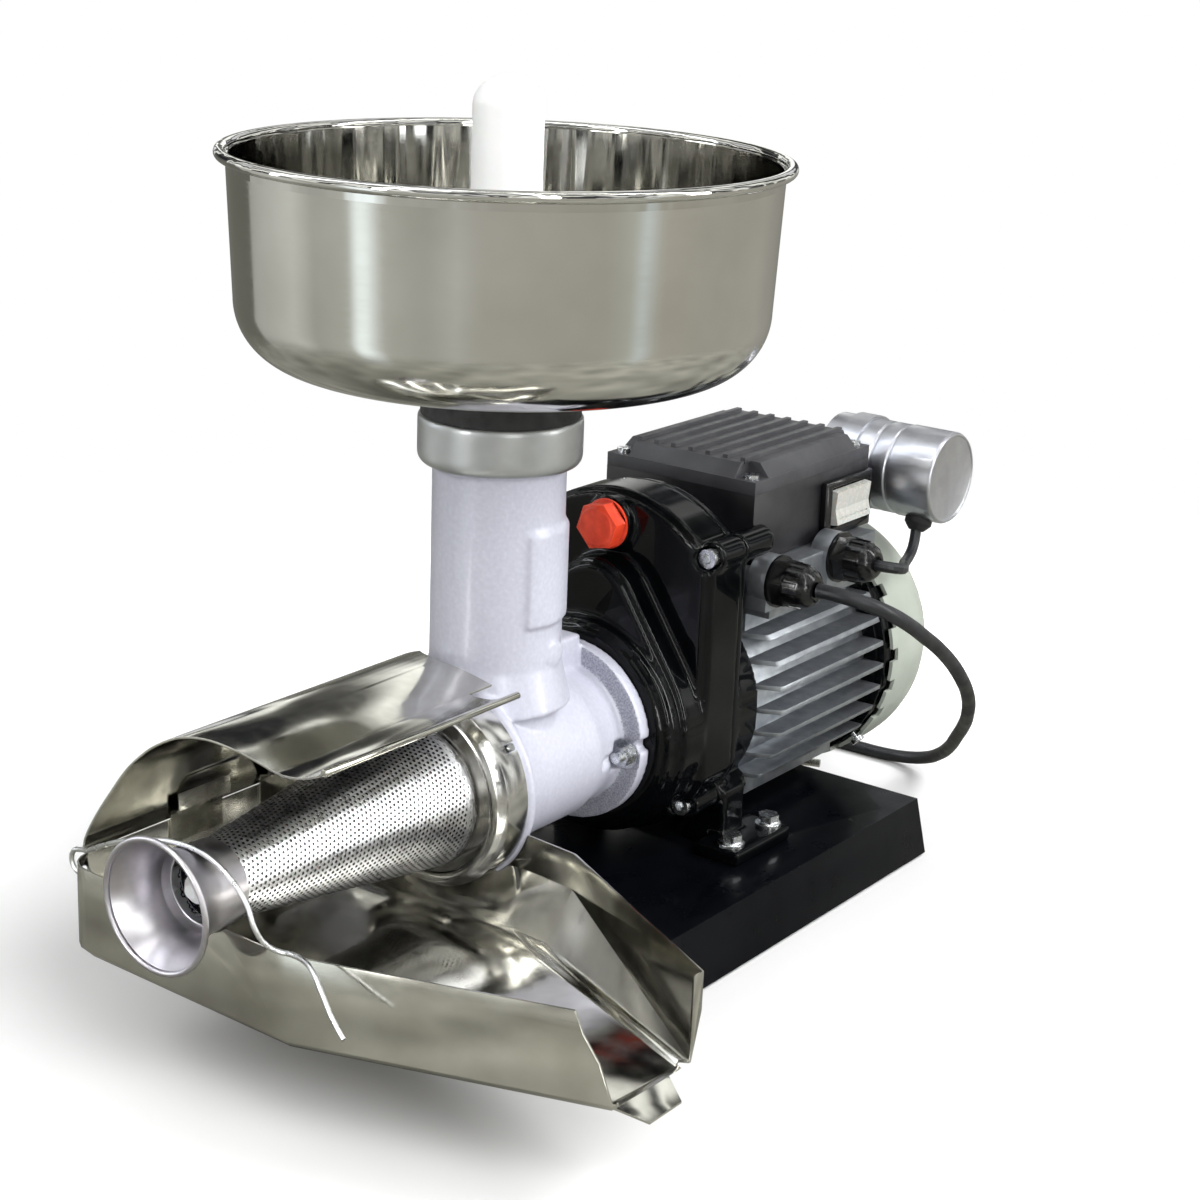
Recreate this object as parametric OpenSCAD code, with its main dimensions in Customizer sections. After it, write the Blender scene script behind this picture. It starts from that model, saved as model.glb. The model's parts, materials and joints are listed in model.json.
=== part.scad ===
// Electric tomato strainer: hopper and chimney in front, finned motor behind, on a black sheet base.
// Sizes in millimetres. X is to the machine's right, Y runs from the outlet back to the motor, Z is up.
// Local frame of the sizes below: X and Y are zero on the chimney axis, Z is zero on the screw axis.
// The Hidden section moves everything so that the underside centre of the outline is the origin.

/* [Base] */
// height of the screw axis above the table
axis_height = 108; // [100:1:120]
// depth of the base top below the screw axis
base_top_drop = 73; // [70:0.5:80]
// half width of the base top
base_half_w = 98.5; // [90:0.5:110]
// outward flare of each side at the bottom edge
base_flare = 5; // [0:0.5:8]
// front edge of the base top
base_front = 8; // [0:1:20]
// sheet thickness of the base
base_t = 2; // [1.5:0.1:3]

/* [Hopper] */
// radius of the rolled rim's centre line
rim_r = 130; // [120:0.5:140]
// radius of the rolled rim's bead
rim_bead = 2.7; // [2:0.1:4]
// height of the rim above the bowl's underside
bowl_depth = 96.7; // [80:0.1:110]
// outer radius of the bowl wall at its top
bowl_r = 127.5; // [120:0.5:135]
// outer radius of the bowl wall where the bottom corner begins
bowl_low_r = 124.5; // [115:0.5:130]
// radius of the bottom corner
bowl_corner = 31; // [20:1:40]
// height of the rubber collar above the chimney's top
collar_up = 22.5; // [15:0.5:30]
// wall thickness of the bowl
bowl_t = 1.2; // [0.8:0.1:2]
// inner radius of the bowl's neck
neck_r = 28; // [24:0.5:30]

/* [Pusher] */
// radius of the pusher's handle
pusher_r = 16.5; // [14:0.5:20]
// height of the pusher's round top above the rim
pusher_up = 36.8; // [20:0.1:60]
// radius of the pusher's wide foot in the chimney
pusher_foot_r = 25; // [22:0.5:26]

/* [Strainer body] */
// outer radius of the chimney
chimney_r = 32; // [30:0.5:36]
// bore radius of the chimney
chimney_bore = 26.5; // [24:0.5:28]
// outer radius of the chimney's top collar
chimney_collar_r = 39.3; // [36:0.1:42]
// underside of the chimney's top collar
chimney_collar_z0 = 152; // [145:1:160]
// top face of the strainer body
chimney_top = 176; // [170:1:180]
// outer radius of the barrel
barrel_r = 40; // [37:0.5:44]
// bore radius of the barrel
barrel_bore = 34.5; // [32:0.5:36]
// radius of the rear flange
flange_r = 47.3; // [45:0.1:50]
// front face of the rear flange
flange_y = 59.6; // [55:0.1:65]
// thickness of the rear flange
flange_t = 8.4; // [6:0.1:10]

/* [Filter and outlet] */
// outer radius of the perforated cone at its large end
cone_r1 = 35.5; // [33:0.1:38]
// position of the large end
cone_y1 = -61; // [-65:0.5:-55]
// outer radius of the perforated cone at its small end
cone_r2 = 17.2; // [15:0.1:20]
// length of the perforated cone
cone_len = 134; // [120:0.5:150]
// sheet thickness of the cone
cone_t = 0.8; // [0.5:0.1:1.2]
// outer radius of the outlet's rim
outlet_r = 31.25; // [29:0.05:34]
// length of the outlet in front of the perforated cone
outlet_len = 30.1; // [25:0.1:40]

/* [Screw and gear train] */
// pitch of the feed screw's flight
screw_pitch = 34; // [28:1:40]
// running gap between flight and cone
screw_gap = 1.2; // [0.8:0.1:2]
// gear module of both stages
gear_m = 1.25; // [1:0.05:1.5]
// teeth on both pinions
pinion_teeth = 17; // [17:2:21]
// teeth on both wheels
wheel_teeth = 63; // [59:2:67]
// play between teeth at the pitch circle
backlash = 0.3; // [0.1:0.05:0.5]

/* [Motor] */
// radius over the motor's cooling fins
fin_r = 71; // [68:0.5:75]
// radius of the finned frame's shell
frame_r = 58; // [54:0.5:62]
// spacing of the side fins
fin_pitch = 13; // [11:0.5:15]
// front and back face of the finned frame
frame_y0 = 150; // [145:0.5:155]
// back face of the finned frame
frame_y1 = 260; // [250:0.5:265]
// outer radius of the fan cover
cover_r = 72.5; // [70:0.5:76]
// depth of the fan cover behind the frame
cover_depth = 72; // [60:1:90]

/* [Terminal box] */
// half width of the terminal box
box_hw = 47.4; // [44:0.2:52]
// front face of the terminal box
box_y0 = 152.6; // [150:0.2:156]
// underside of the terminal box
box_z0 = 77; // [74:0.5:80]
// joint between box and lid
box_seam = 114.2; // [110:0.2:118]
// top of the lid's ribs
lid_top = 130.5; // [126:0.5:134]
// how far the lid's sides lean in towards its top
lid_slope = 6.5; // [0:0.5:10]

/* [Capacitor] */
// radius of the capacitor can
can_r = 25.5; // [22:0.1:28]
// end face of the can
can_x = 82.2; // [75:0.2:90]
// height of the can above the top of the fan cover
can_gap = 4.2; // [2:0.1:8]

/* [Tray and guard] */
// underside of the tray's floor
tray_bottom = -60; // [-65:0.5:-55]
// top edge of the tray's walls
tray_top = -16; // [-20:0.5:-12]
// left wall of the tray
tray_left = -92; // [-98:0.5:-88]
// end of the pouring lip
tray_lip = 200; // [190:0.5:205]
// sheet thickness of tray and guard
tray_t = 1; // [0.8:0.1:1.5]
// wire thickness of the latch clip
wire_d = 2.4; // [2:0.1:3]

/* [Cord] */
// thickness of the power cord
cord_d = 7.8; // [6.5:0.1:8.5]
// thickness of the capacitor's lead
lead_d = 6; // [5:0.1:7]

/* [Hidden] */
$fa = 4;
$fs = 0.6;
eps = 0.01;
cone_y2 = cone_y1 - cone_len;
outlet_y = cone_y2 - outlet_len;
tray_front = cone_y2 - 4.6;
guard_front = cone_y2 + 12;
bowl_bottom = chimney_top + collar_up;
rim_z = bowl_bottom + bowl_depth;
pusher_top = rim_z + pusher_up;
cover_back = frame_y1 + cover_depth;
dome_y = frame_y1 + 32;
fan_y0 = frame_y1 + 20;
fan_y1 = frame_y1 + 42;
core_y0 = frame_y0 + 20;
core_y1 = frame_y1 - 20;
base_back = frame_y1 + 1;
box_y1 = frame_y1 + 8;
can_y = frame_y1 + 41.4;
can_z = cover_r + can_gap + can_r;
dome_in = cover_r - 38;
x_lo = -(rim_r + rim_bead);
y_lo = outlet_y - 1.4;
shift_x = -(x_lo + tray_lip) / 2;
shift_y = -(y_lo + cover_back) / 2;
run = 0.05;
case_hw = 60;
case_arc_r = 72.6;
case_arc_z = 47.8;
case_y0 = 98;
case_y1 = case_y0 + 26;
wheel_y0 = case_y0 + 3;
wheel_y1 = wheel_y0 + 9.2;
second_y0 = wheel_y1 + 2.8;
second_y1 = second_y0 + 8;
cover_y1 = case_y1 + 7;
shaft_d = gear_m * (pinion_teeth + wheel_teeth) / 2;
bolt_up = [55, 93.5];
bolt_low = [46, -42];
foot_top = -65;
foot_bolt_x = 65.5;
foot_bolt_y = [120, 156];
collar_front = -53;
mouth_y = -47;
flight_in = cone_t + screw_gap;
cone_slope = (cone_r2 - cone_r1) / (cone_y1 - cone_y2);
floor_z = -axis_height;
cover_screw_y = frame_y1 + 10.4;
gland_z = 71;
gland_x = 62.5;
supply_y = 156;
lead_y = frame_y1 - 43;
lid_screw_in = 6.5;
collar_r = 48.7;
spigot_r = neck_r + bowl_t + 2;
pin_angles = [-35, 145];

// ---- shared helpers
module at_frame() {
    translate([shift_x, shift_y, axis_height]) children();
}
// round solid along Y from y0 to y1
module rod_y(r, y0, y1, x = 0, z = 0) {
    translate([x, y1, z]) rotate([90, 0, 0]) cylinder(r = r, h = y1 - y0);
}
module tube_y(r, ri, y0, y1, x = 0, z = 0) {
    translate([x, y1, z]) rotate([90, 0, 0]) difference() {
        cylinder(r = r, h = y1 - y0);
        translate([0, 0, -1]) cylinder(r = ri, h = y1 - y0 + 2);
    }
}
module rod_x(r, x0, x1, y = 0, z = 0) {
    translate([x0, y, z]) rotate([0, 90, 0]) cylinder(r = r, h = x1 - x0);
}
module block(x0, x1, y0, y1, z0, z1) {
    translate([x0, y0, z0]) cube([x1 - x0, y1 - y0, z1 - z0]);
}
// outline drawn in X and Z, given length along Y
module slab_y(y0, y1) {
    translate([0, y1, 0]) rotate([90, 0, 0]) linear_extrude(y1 - y0) children();
}
// turned solid around the Y axis, points as [radius, y]
module turned_y(pts) {
    rotate([-90, 0, 0]) rotate_extrude() polygon(pts);
}
module mirror_x() {
    children();
    mirror([1, 0, 0]) children();
}
// smooth curve through hand-chosen points
function cr(a, b, c, d, t) =
    0.5 * ((2 * b) + (c - a) * t + (2 * a - 5 * b + 4 * c - d) * t * t
        + (3 * b - a - 3 * c + d) * t * t * t);
function smooth(p, n) = concat([for (i = [0:len(p) - 2]) for (k = [0:n - 1])
    cr(p[max(i - 1, 0)], p[i], p[i + 1], p[min(i + 2, len(p) - 1)], k / n)], [p[len(p) - 1]]);
function unit(v) = v / norm(v);
// ribbon of thickness t that follows a plane curve
function side(p, i) = let (d = unit(p[min(i + 1, len(p) - 1)] - p[max(i - 1, 0)])) [-d[1], d[0]];
function ribbon(p, t) = concat([for (i = [0:len(p) - 1]) p[i] + side(p, i) * t / 2],
    [for (i = [len(p) - 1:-1:0]) p[i] - side(p, i) * t / 2]);
// round tube swept along points in space
function tang(p, i) = unit(p[min(i + 1, len(p) - 1)] - p[max(i - 1, 0)]);
function turn_to(u, t0, t1) = let (v = u - t1 * (u * t1)) unit(v);
function carry(p, i, u) = i == len(p) ? [] :
    let (v = turn_to(u, [0, 0, 0], tang(p, i))) concat([v], carry(p, i + 1, v));
module swept(p, d, n = 8) {
    us = carry(p, 0, abs(tang(p, 0)[2]) > 0.9 ? [1, 0, 0] : [0, 0, 1]);
    m = len(p);
    pts = [for (i = [0:m - 1]) for (k = [0:n - 1]) let (a = 360 * k / n, w = cross(tang(p, i), us[i]))
        p[i] + d / 2 * (cos(a) * us[i] + sin(a) * w)];
    faces = concat([[for (k = [n - 1:-1:0]) k]],
        [for (i = [0:m - 2]) for (k = [0:n - 1])
            [i * n + k, i * n + (k + 1) % n, (i + 1) * n + (k + 1) % n]],
        [for (i = [0:m - 2]) for (k = [0:n - 1]) [i * n + k, (i + 1) * n + (k + 1) % n, (i + 1) * n + k]],
        [[for (k = [0:n - 1]) (m - 1) * n + k]]);
    polyhedron(points = pts, faces = [for (f = faces) [for (j = [len(f) - 1:-1:0]) f[j]]]);
}
// involute spur gear outline with a tooth centred on the +Y side of its own plane
function inv_deg(a) = tan(a) * 180 / PI - a;
function half_tooth(z, r) = let (rp = gear_m * z / 2, rb = rp * cos(20), pa = r > rb ? acos(rb / r) : 0)
    90 / z - backlash / (4 * rp) * 180 / PI + inv_deg(20) - inv_deg(pa);
function gear_pts(z) = let (rp = gear_m * z / 2, ra = rp + gear_m, rf = rp - 1.25 * gear_m,
    rs = [rf, max(rp * cos(20), rf + 0.3), rp - gear_m * 0.25, rp + gear_m * 0.4, ra])
    [for (i = [0:z - 1]) each concat(
        [for (k = [0:4]) let (a = 90 + 360 * i / z - half_tooth(z, rs[k])) rs[k] * [cos(a), sin(a)]],
        [for (k = [4:-1:0]) let (a = 90 + 360 * i / z + half_tooth(z, rs[k])) rs[k] * [cos(a), sin(a)]])];
module gear(z, y0, y1, bore, zc = 0, web = 0) {
    translate([0, 0, zc]) slab_y(y0, y1) difference() {
        polygon(gear_pts(z));
        circle(r = bore);
        if (web > 0) for (a = [30:60:330]) rotate(a) translate([web, 0]) circle(r = web * 0.28);
    }
}
module hex_head(af, h) {
    cylinder(r = af / 2 / cos(30), h = h, $fn = 6);
}

// ---- base
module base_shell(o, z0, z1) {
    k = base_flare / 33;
    hull() {
        for (z = [z0, z1]) translate([-base_half_w + o - k * (-base_top_drop - z),
            base_front + o - k * (-base_top_drop - z), z])
            cube([2 * (base_half_w - o + k * (-base_top_drop - z)),
                base_back - base_front - 2 * o + 2 * k * (-base_top_drop - z), 0.001]);
    }
}
module base_tray() {
    bot = floor_z + 2;
    color([0.07, 0.07, 0.08]) at_frame() difference() {
        base_shell(0, bot, -base_top_drop);
        base_shell(base_t, bot + base_t, -base_top_drop - base_t);
        block(-base_half_w + 14, base_half_w - 14, base_front + 12, base_back - 12, bot - 1, bot + 5);
        mirror_x() for (y = foot_bolt_y)
            translate([foot_bolt_x, y, -base_top_drop - 10]) cylinder(r = 3.3, h = 20);
    }
}
module base_feet() {
    color([0.1, 0.1, 0.1]) at_frame() mirror_x() for (y = [base_front + 4, base_back - 4])
        translate([base_half_w - 5, y, floor_z]) cylinder(r1 = 7, r2 = 7.5, h = 2);
}
module foot_bolts() {
    color([0.75, 0.75, 0.77]) at_frame() mirror_x() for (y = foot_bolt_y)
        translate([foot_bolt_x, y, foot_top]) {
        cylinder(r = 7.1, h = 1.6);
        translate([0, 0, 1.6 - eps]) cylinder(r1 = 6.6, r2 = 5.6, h = 0.8);
        translate([0, 0, 2]) rotate(15) hex_head(10, 4.4);
        translate([0, 0, -24]) cylinder(r = 3, h = 24 + eps);
        translate([0, 0, -15.2]) rotate(10) hex_head(10, 5.2);
    }
}

// ---- gear case
module case_outline(o = 0) {
    intersection() {
        union() {
            translate([0, case_arc_z]) circle(r = case_arc_r - o);
            circle(r = 64.5 - o);
            translate([-case_hw, 0]) square([2 * case_hw, case_arc_z]);
        }
        translate([-case_hw + o, -70]) square([2 * (case_hw - o), 200]);
    }
}
// straight-flanked pear outline over two arcs
function arc_pts(r, h, a0, a1, n) =
    [for (i = [0:n]) let (a = a0 + (a1 - a0) * i / n) [r * cos(a), h + r * sin(a)]];
module pear(r1, r2, h) {
    s = asin((r1 - r2) / h);
    polygon(concat(arc_pts(r1, 0, 180 - s, 360 + s, 48), arc_pts(r2, h, s, 180 - s, 24)));
}
module four_bosses() {
    mirror_x() {
        translate([bolt_up[0], 0, bolt_up[1]]) children();
        translate([bolt_low[0], 0, bolt_low[1]]) children();
    }
}
module gear_case() {
    nose = flange_y + flange_t;
    color([0.05, 0.05, 0.06]) at_frame() difference() {
        union() {
            slab_y(case_y0, case_y1) case_outline();
            slab_y(case_y0 - 4, case_y0 + 2) case_outline(3);
            slab_y(80, case_y0) pear(60.5, 27, 60);
            slab_y(77, 82) pear(57.5, 24, 60);
            rod_y(56.5, 71, 78);
            rod_y(52.5, nose, 72);
            four_bosses() rod_y(8, 103, case_y1);
            rod_y(14, 89, 98, 0, 103.5);
            // short cast ribs on both sides of the oil plug's boss
            for (x = [-36, -30, -24, 24, 30, 36]) block(x - 0.9, x + 0.9, 91, 95, 84, 104);
        }
        // gear room, deeper behind the pear-shaped step, with both bearing seats left standing
        slab_y(case_y0 + 5, case_y1 + 1) {
            circle(r = 52);
            translate([0, shaft_d]) circle(r = 45);
            translate([-40, 0]) square([80, shaft_d]);
        }
        slab_y(case_y0 + 0.2, case_y0 + 6) pear(53, 20, 60);
        slab_y(86, case_y0 + 0.3) difference() {
            pear(53, 20, 60);
            translate([0, shaft_d]) circle(r = 17);
            circle(r = 27);
        }
        rod_y(13, nose - 1, 90);
        rod_y(23.5, 84, case_y0 + 1);
        rod_y(17, nose + 4, 78);
        rod_y(14, 92, case_y0 + 1, 0, shaft_d);
        four_bosses() {
            rod_y(3.2, 100, case_y1 + 1);
            rod_y(5.8, 94, 105);
        }
        rod_y(8, 80, 110, 0, 103.5);
        mirror_x() rod_y(3, nose - 1, nose + 12, 37.5, -4);
    }
}
module gear_cover() {
    color([0.06, 0.06, 0.07]) at_frame() difference() {
        union() {
            slab_y(case_y1, cover_y1) case_outline(1);
            rod_y(frame_r + 1, cover_y1 - eps, frame_y0);
            four_bosses() rod_y(8, case_y1, frame_y0);
            mirror_x() {
                block(48, 75, 112, 164, -base_top_drop, foot_top);
                block(30, 56, 126, 146, -base_top_drop, -40);
            }
        }
        tube_y(frame_r - 4, 26, cover_y1 + 3, frame_y0 + 1);
        rod_y(10, case_y1 - 1, frame_y0 + 1);
        rod_y(20, 134, frame_y0 + 1);
        rod_y(14, case_y1 - 1, case_y1 + 5, 0, shaft_d);
        four_bosses() rod_y(3.0, case_y1 - 1, frame_y0 - 4);
        mirror_x() for (y = foot_bolt_y)
            translate([foot_bolt_x, y, -base_top_drop - 1]) cylinder(r = 3.3, h = 20);
        for (x = [-26:13:26]) block(x - 4, x + 4, 136, frame_y0 + 1, -80, -50);
    }
}
module case_screws() {
    color([0.8, 0.8, 0.82]) at_frame() four_bosses() difference() {
        union() {
            rod_y(5, 99, 105);
            rod_y(3.0, 105 - eps, 145);
        }
        translate([0, 102, 0]) rotate([90, 0, 0]) cylinder(r = 2.9, h = 5, $fn = 6);
    }
}
module oil_plug() {
    color([0.95, 0.25, 0.05]) at_frame() translate([0, 89, 103.5]) rotate([90, 0, 0]) {
        cylinder(r = 13, h = 1.5);
        translate([0, 0, 1.5 - eps]) rotate(12) hex_head(22, 8);
        translate([0, 0, 9.4]) cylinder(r1 = 10.5, r2 = 9.5, h = 1);
        translate([0, 0, -12]) cylinder(r = 8, h = 12 + eps);
    }
}

// ---- gear train
module shaft_seal() {
    color([0.35, 0.12, 0.08]) at_frame() turned_y([[10 + run, 73], [13, 72], [17, 72], [17, 78], [15, 78],
        [15, 74.5], [12, 74.5], [11.4, 77], [10 + run, 75.5]]);
}
module ball_bearing(ri, ro, y0, y1) {
    c = (ri + ro) / 2;
    race = (ro - ri) * 0.3;
    gap = (ro - ri) * 0.1;
    turned_y([[ri, y0], [ri + race, y0], [c - gap, y0 + 1], [c + gap, y0 + 1], [ro - race, y0], [ro, y0],
        [ro, y1], [ro - race, y1], [c + gap, y1 - 1], [c - gap, y1 - 1], [ri + race, y1], [ri, y1]]);
}
module output_bearings() {
    color([0.7, 0.72, 0.75]) at_frame() ball_bearing(10 + run, 23.5, 84, 98);
}
module output_shaft() {
    color([0.68, 0.7, 0.72]) at_frame() {
        rod_y(10, 56, 112);
        block(-6.5, 6.5, 40, 56 + eps, -6.5, 6.5);
        rod_y(13, case_y0 + 0.4, wheel_y0);
        tube_y(13, 9.9, wheel_y1, wheel_y1 + 1.6);
    }
}
module output_gear() {
    color([0.6, 0.6, 0.62]) at_frame() gear(wheel_teeth, wheel_y0, wheel_y1, 10, 0, 24);
}
module countershaft() {
    color([0.68, 0.7, 0.72]) at_frame() {
        rod_y(6, 93, 128.5, 0, shaft_d);
        rod_y(8, second_y0 - 2, second_y0, 0, shaft_d);
    }
}
module countershaft_pinion() {
    color([0.6, 0.6, 0.62]) at_frame() gear(pinion_teeth, wheel_y0 - 0.6, second_y0 - 2, 6, shaft_d);
}
module countershaft_gear() {
    color([0.6, 0.6, 0.62]) at_frame() gear(wheel_teeth, second_y0, second_y1, 6, shaft_d, 24);
}
module countershaft_bearings() {
    color([0.7, 0.72, 0.75]) at_frame() translate([0, 0, shaft_d]) {
        ball_bearing(6 + run, 14, 92, 99.8);
        ball_bearing(6 + run, 14, case_y1 - 1.6, case_y1 + 5);
    }
}
module motor_pinion() {
    color([0.6, 0.6, 0.62]) at_frame() gear(pinion_teeth, second_y0, second_y1 + 0.4, 6, 0);
}
module motor_shaft() {
    color([0.68, 0.7, 0.72]) at_frame() {
        rod_y(6, 113, 130.6);
        rod_y(8.5, 130.5, frame_y1 + 12);
        rod_y(6, frame_y1 + 12 - eps, fan_y1 + 4);
    }
}
module motor_bearings() {
    color([0.7, 0.72, 0.75]) at_frame() {
        ball_bearing(8.5 + run, 20, 134, 146);
        ball_bearing(8.5 + run, 17.5, frame_y1 - 1, frame_y1 + 9);
    }
}

// ---- motor
module rotor_core() {
    color([0.45, 0.46, 0.48]) at_frame() {
        tube_y(32, 8.5, core_y0, core_y1);
        tube_y(30, 22, core_y0 - 6, core_y0 + eps);
        tube_y(30, 22, core_y1 - eps, core_y1 + 6);
    }
}
module stator_core() {
    color([0.35, 0.36, 0.38]) at_frame() slab_y(core_y0, core_y1) difference() {
        circle(r = frame_r - 5);
        circle(r = 32.5);
        for (i = [0:23]) rotate(15 * i) {
            translate([34.5, -2]) square([9.5, 4]);
            translate([32, -0.9]) square([3, 1.8]);
        }
    }
}
module stator_windings() {
    color([0.72, 0.36, 0.12]) at_frame() {
        translate([0, core_y0, 0])
            turned_y([[35, -14], [37, -16.5], [44, -16.5], [46.5, -14], [46.5, 0], [35, 0]]);
        translate([0, core_y1, 0])
            turned_y([[35, 0], [46.5, 0], [46.5, 13], [44, 16], [37, 16], [35, 13]]);
        for (i = [0:23]) rotate([0, 15 * i, 0]) translate([0, core_y0, 0]) rotate([-90, 0, 0])
            translate([35, -1.6, -eps]) cube([8.5, 3.2, core_y1 - core_y0 + 2 * eps]);
    }
}
module motor_frame() {
    color([0.72, 0.73, 0.75]) at_frame() difference() {
        union() {
            rod_y(frame_r, frame_y0, frame_y1);
            intersection() {
                turned_y([[0, frame_y0], [60, frame_y0], [fin_r - 1, frame_y0 + 5], [fin_r, frame_y0 + 7],
                    [fin_r, frame_y1], [0, frame_y1]]);
                union() {
                    for (z = [-3 * fin_pitch:fin_pitch:4 * fin_pitch])
                        block(-80, 80, frame_y0, frame_y1, z - 1.3, z + 1.3);
                    for (x = [-3 * fin_pitch:fin_pitch:3 * fin_pitch])
                        block(x - 1.3, x + 1.3, frame_y0, frame_y1, -80, -40);
                }
            }
            // saddle under the terminal box
            block(-box_hw + 2, box_hw - 2, box_y0 + 1, frame_y1, 40, box_z0);
            block(40, 60, box_y0 + 0.6, frame_y1 - 1, 50, box_z0 - 0.6);
            // cast pads under the two cable glands
            for (y = [supply_y, lead_y]) {
                rod_x(13.6, box_hw + 4.4, gland_x, y, gland_z);
                block(50, gland_x, y - 11, y + 11, 56, gland_z);
            }
        }
        rod_y(frame_r - 5, frame_y0 - 1, frame_y1 + 1);
        rod_y(frame_r - 3, frame_y0 - 1, frame_y0 + 4);
        block(-24, 24, 180, frame_y1 - 28, 40, box_z0 + 1);
        for (y = [supply_y, lead_y]) rod_x(7, gland_x - 7, gland_x + 1, y, gland_z);
    }
}
module end_shield() {
    color([0.05, 0.05, 0.06]) at_frame() difference() {
        union() {
            rod_y(cover_r - 6.5, frame_y1, frame_y1 + 5);
            rod_y(frame_r - 5, frame_y1 - 4, frame_y1 + eps);
            rod_y(23, frame_y1 - 2, frame_y1 + 10.5);
            tube_y(cover_r - 3, cover_r - 9.5, frame_y1 + 3, frame_y1 + 12);
        }
        rod_y(17.5, frame_y1 - 5, frame_y1 + 9);
        rod_y(11, frame_y1, frame_y1 + 11);
        for (a = [45:90:315]) rotate([0, a, 0]) rod_x(2, cover_r - 12.5, cover_r + 7.5, cover_screw_y, 0);
        rod_y(44, frame_y1 - 5, frame_y1 - 1);
        for (a = [0:15:345]) rotate([0, a + 3, 0])
            block(cover_r - 12.5, cover_r + 2.5, frame_y1 + 5, frame_y1 + 9.5, -3.2, 3.2);
    }
}
module cooling_fan() {
    color([0.12, 0.12, 0.13]) at_frame() {
        tube_y(14, 6, fan_y0, fan_y1);
        tube_y(cover_r - 22.5, 13.9, fan_y0, fan_y0 + 2.5);
        for (a = [0:45:315]) rotate([0, a, 0]) block(12, cover_r - 18.5, fan_y0 + 2, fan_y1, -1.2, 1.2);
    }
}
module fan_cover() {
    y0 = frame_y1 + 8;
    d = cover_back - dome_y;
    outer = concat([[cover_r, y0], [cover_r, dome_y]],
        [for (i = [1:8]) [cover_r - dome_in * (1 - cos(i * 11.25)), dome_y + d * sin(i * 11.25)]]);
    inner = [for (i = [8:-1:1])
        [cover_r - 2 - dome_in * (1 - cos(i * 11.25)), dome_y + (d - 2) * sin(i * 11.25)]];
    color([0.78, 0.8, 0.77]) at_frame() difference() {
        turned_y(concat(outer, [[0, cover_back], [0, cover_back - 2]], inner,
            [[cover_r - 2, dome_y], [cover_r - 2, y0]]));
        // curved air slots in rings
        slab_y(cover_back - 17, cover_back + 8) for (r = [12:8:36]) for (a = [0:60:300]) polygon(concat(
            [for (i = [0:6]) (r + 1.8) * [cos(a + 6 + 8 * i), sin(a + 6 + 8 * i)]],
            [for (i = [6:-1:0]) (r - 1.8) * [cos(a + 6 + 8 * i), sin(a + 6 + 8 * i)]]));
        for (a = [45:90:315]) rotate([0, a, 0]) rod_x(2, cover_r - 12.5, cover_r + 7.5, cover_screw_y, 0);
    }
}
module fan_cover_screws() {
    color([0.8, 0.8, 0.8]) at_frame() for (a = [45:90:315]) rotate([0, a, 0]) {
        rod_x(4, cover_r, cover_r + 2.4, cover_screw_y, 0);
        rod_x(2, cover_r - 8.5, cover_r + eps, cover_screw_y, 0);
    }
}

// ---- terminal box and switch
module box_plan(o) {
    translate([-box_hw + o, box_y0 + o]) square([2 * (box_hw - o), box_y1 - box_y0 - 2 * o]);
}
// the four screw places of the lid
module lid_corners() {
    for (x = [-box_hw + lid_screw_in, box_hw - lid_screw_in])
        for (y = [box_y0 + lid_screw_in, box_y1 - lid_screw_in]) translate([x, y, 0]) children();
}
module terminal_box() {
    color([0.06, 0.06, 0.07]) at_frame() difference() {
        translate([0, 0, box_z0]) linear_extrude(box_seam - box_z0) box_plan(0);
        translate([0, 0, box_z0 + 3]) linear_extrude(60) difference() {
            box_plan(3);
            lid_corners() circle(r = 5);
        }
        block(-20, 20, 184, frame_y1 - 32, box_z0 - 1, box_z0 + 5);
        lid_corners() translate([0, 0, box_seam - 7.5]) cylinder(r = 2, h = 20);
        block(30, box_hw + 1, box_y1 - 44.8, box_y1 - 4.2, box_z0 + 4.2, box_seam - 8.2);
    }
}
// block that narrows from one inset of the plan to another on its way up
module lid_taper(o0, z0, o1, z1) {
    hull() {
        translate([0, 0, z0]) linear_extrude(0.01) box_plan(o0);
        translate([0, 0, z1 - 0.01]) linear_extrude(0.01) box_plan(o1);
    }
}
module terminal_lid() {
    color([0.07, 0.07, 0.08]) at_frame() difference() {
        union() {
            translate([0, 0, box_seam]) linear_extrude(7) box_plan(0);
            difference() {
                lid_taper(0.5, box_seam + 7 - eps, lid_slope, lid_top - 2);
                lid_corners() translate([-7, -7, box_seam + 7]) cube([14, 14, 20]);
            }
            // seven raised ribs along the lid
            for (x = [-33:11:33]) block(x - 1.6, x + 1.6, box_y0 + 9, box_y1 - 9, lid_top - 3, lid_top);
        }
        difference() {
            union() {
                translate([0, 0, box_seam - 1]) linear_extrude(8) box_plan(3.5);
                lid_taper(3.5, box_seam + 7 - eps, lid_slope + 3, lid_top - 5);
            }
            lid_corners() translate([0, 0, box_seam - 2]) cylinder(r = 10.5, h = 20);
        }
        lid_corners() translate([0, 0, box_seam - 1]) cylinder(r = 2.2, h = 20);
    }
}
module lid_screws() {
    color([0.8, 0.8, 0.8]) at_frame() lid_corners() translate([0, 0, box_seam + 7]) difference() {
        union() {
            cylinder(r = 4, h = 2.4);
            translate([0, 0, -14]) cylinder(r = 2, h = 14 + eps);
        }
        translate([-4, -0.5, 1.4]) cube([8, 1, 2]);
        translate([-0.5, -4, 1.4]) cube([1, 8, 2]);
    }
}
module terminal_block() {
    color([0.6, 0.45, 0.3]) at_frame() difference() {
        block(-30, 10, 160, 182, box_z0 + 3, box_z0 + 11);
        for (x = [-24, -10, 4]) for (y = [166, 176]) translate([x, y, box_z0 + 5]) cylinder(r = 2, h = 10);
    }
}
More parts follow.
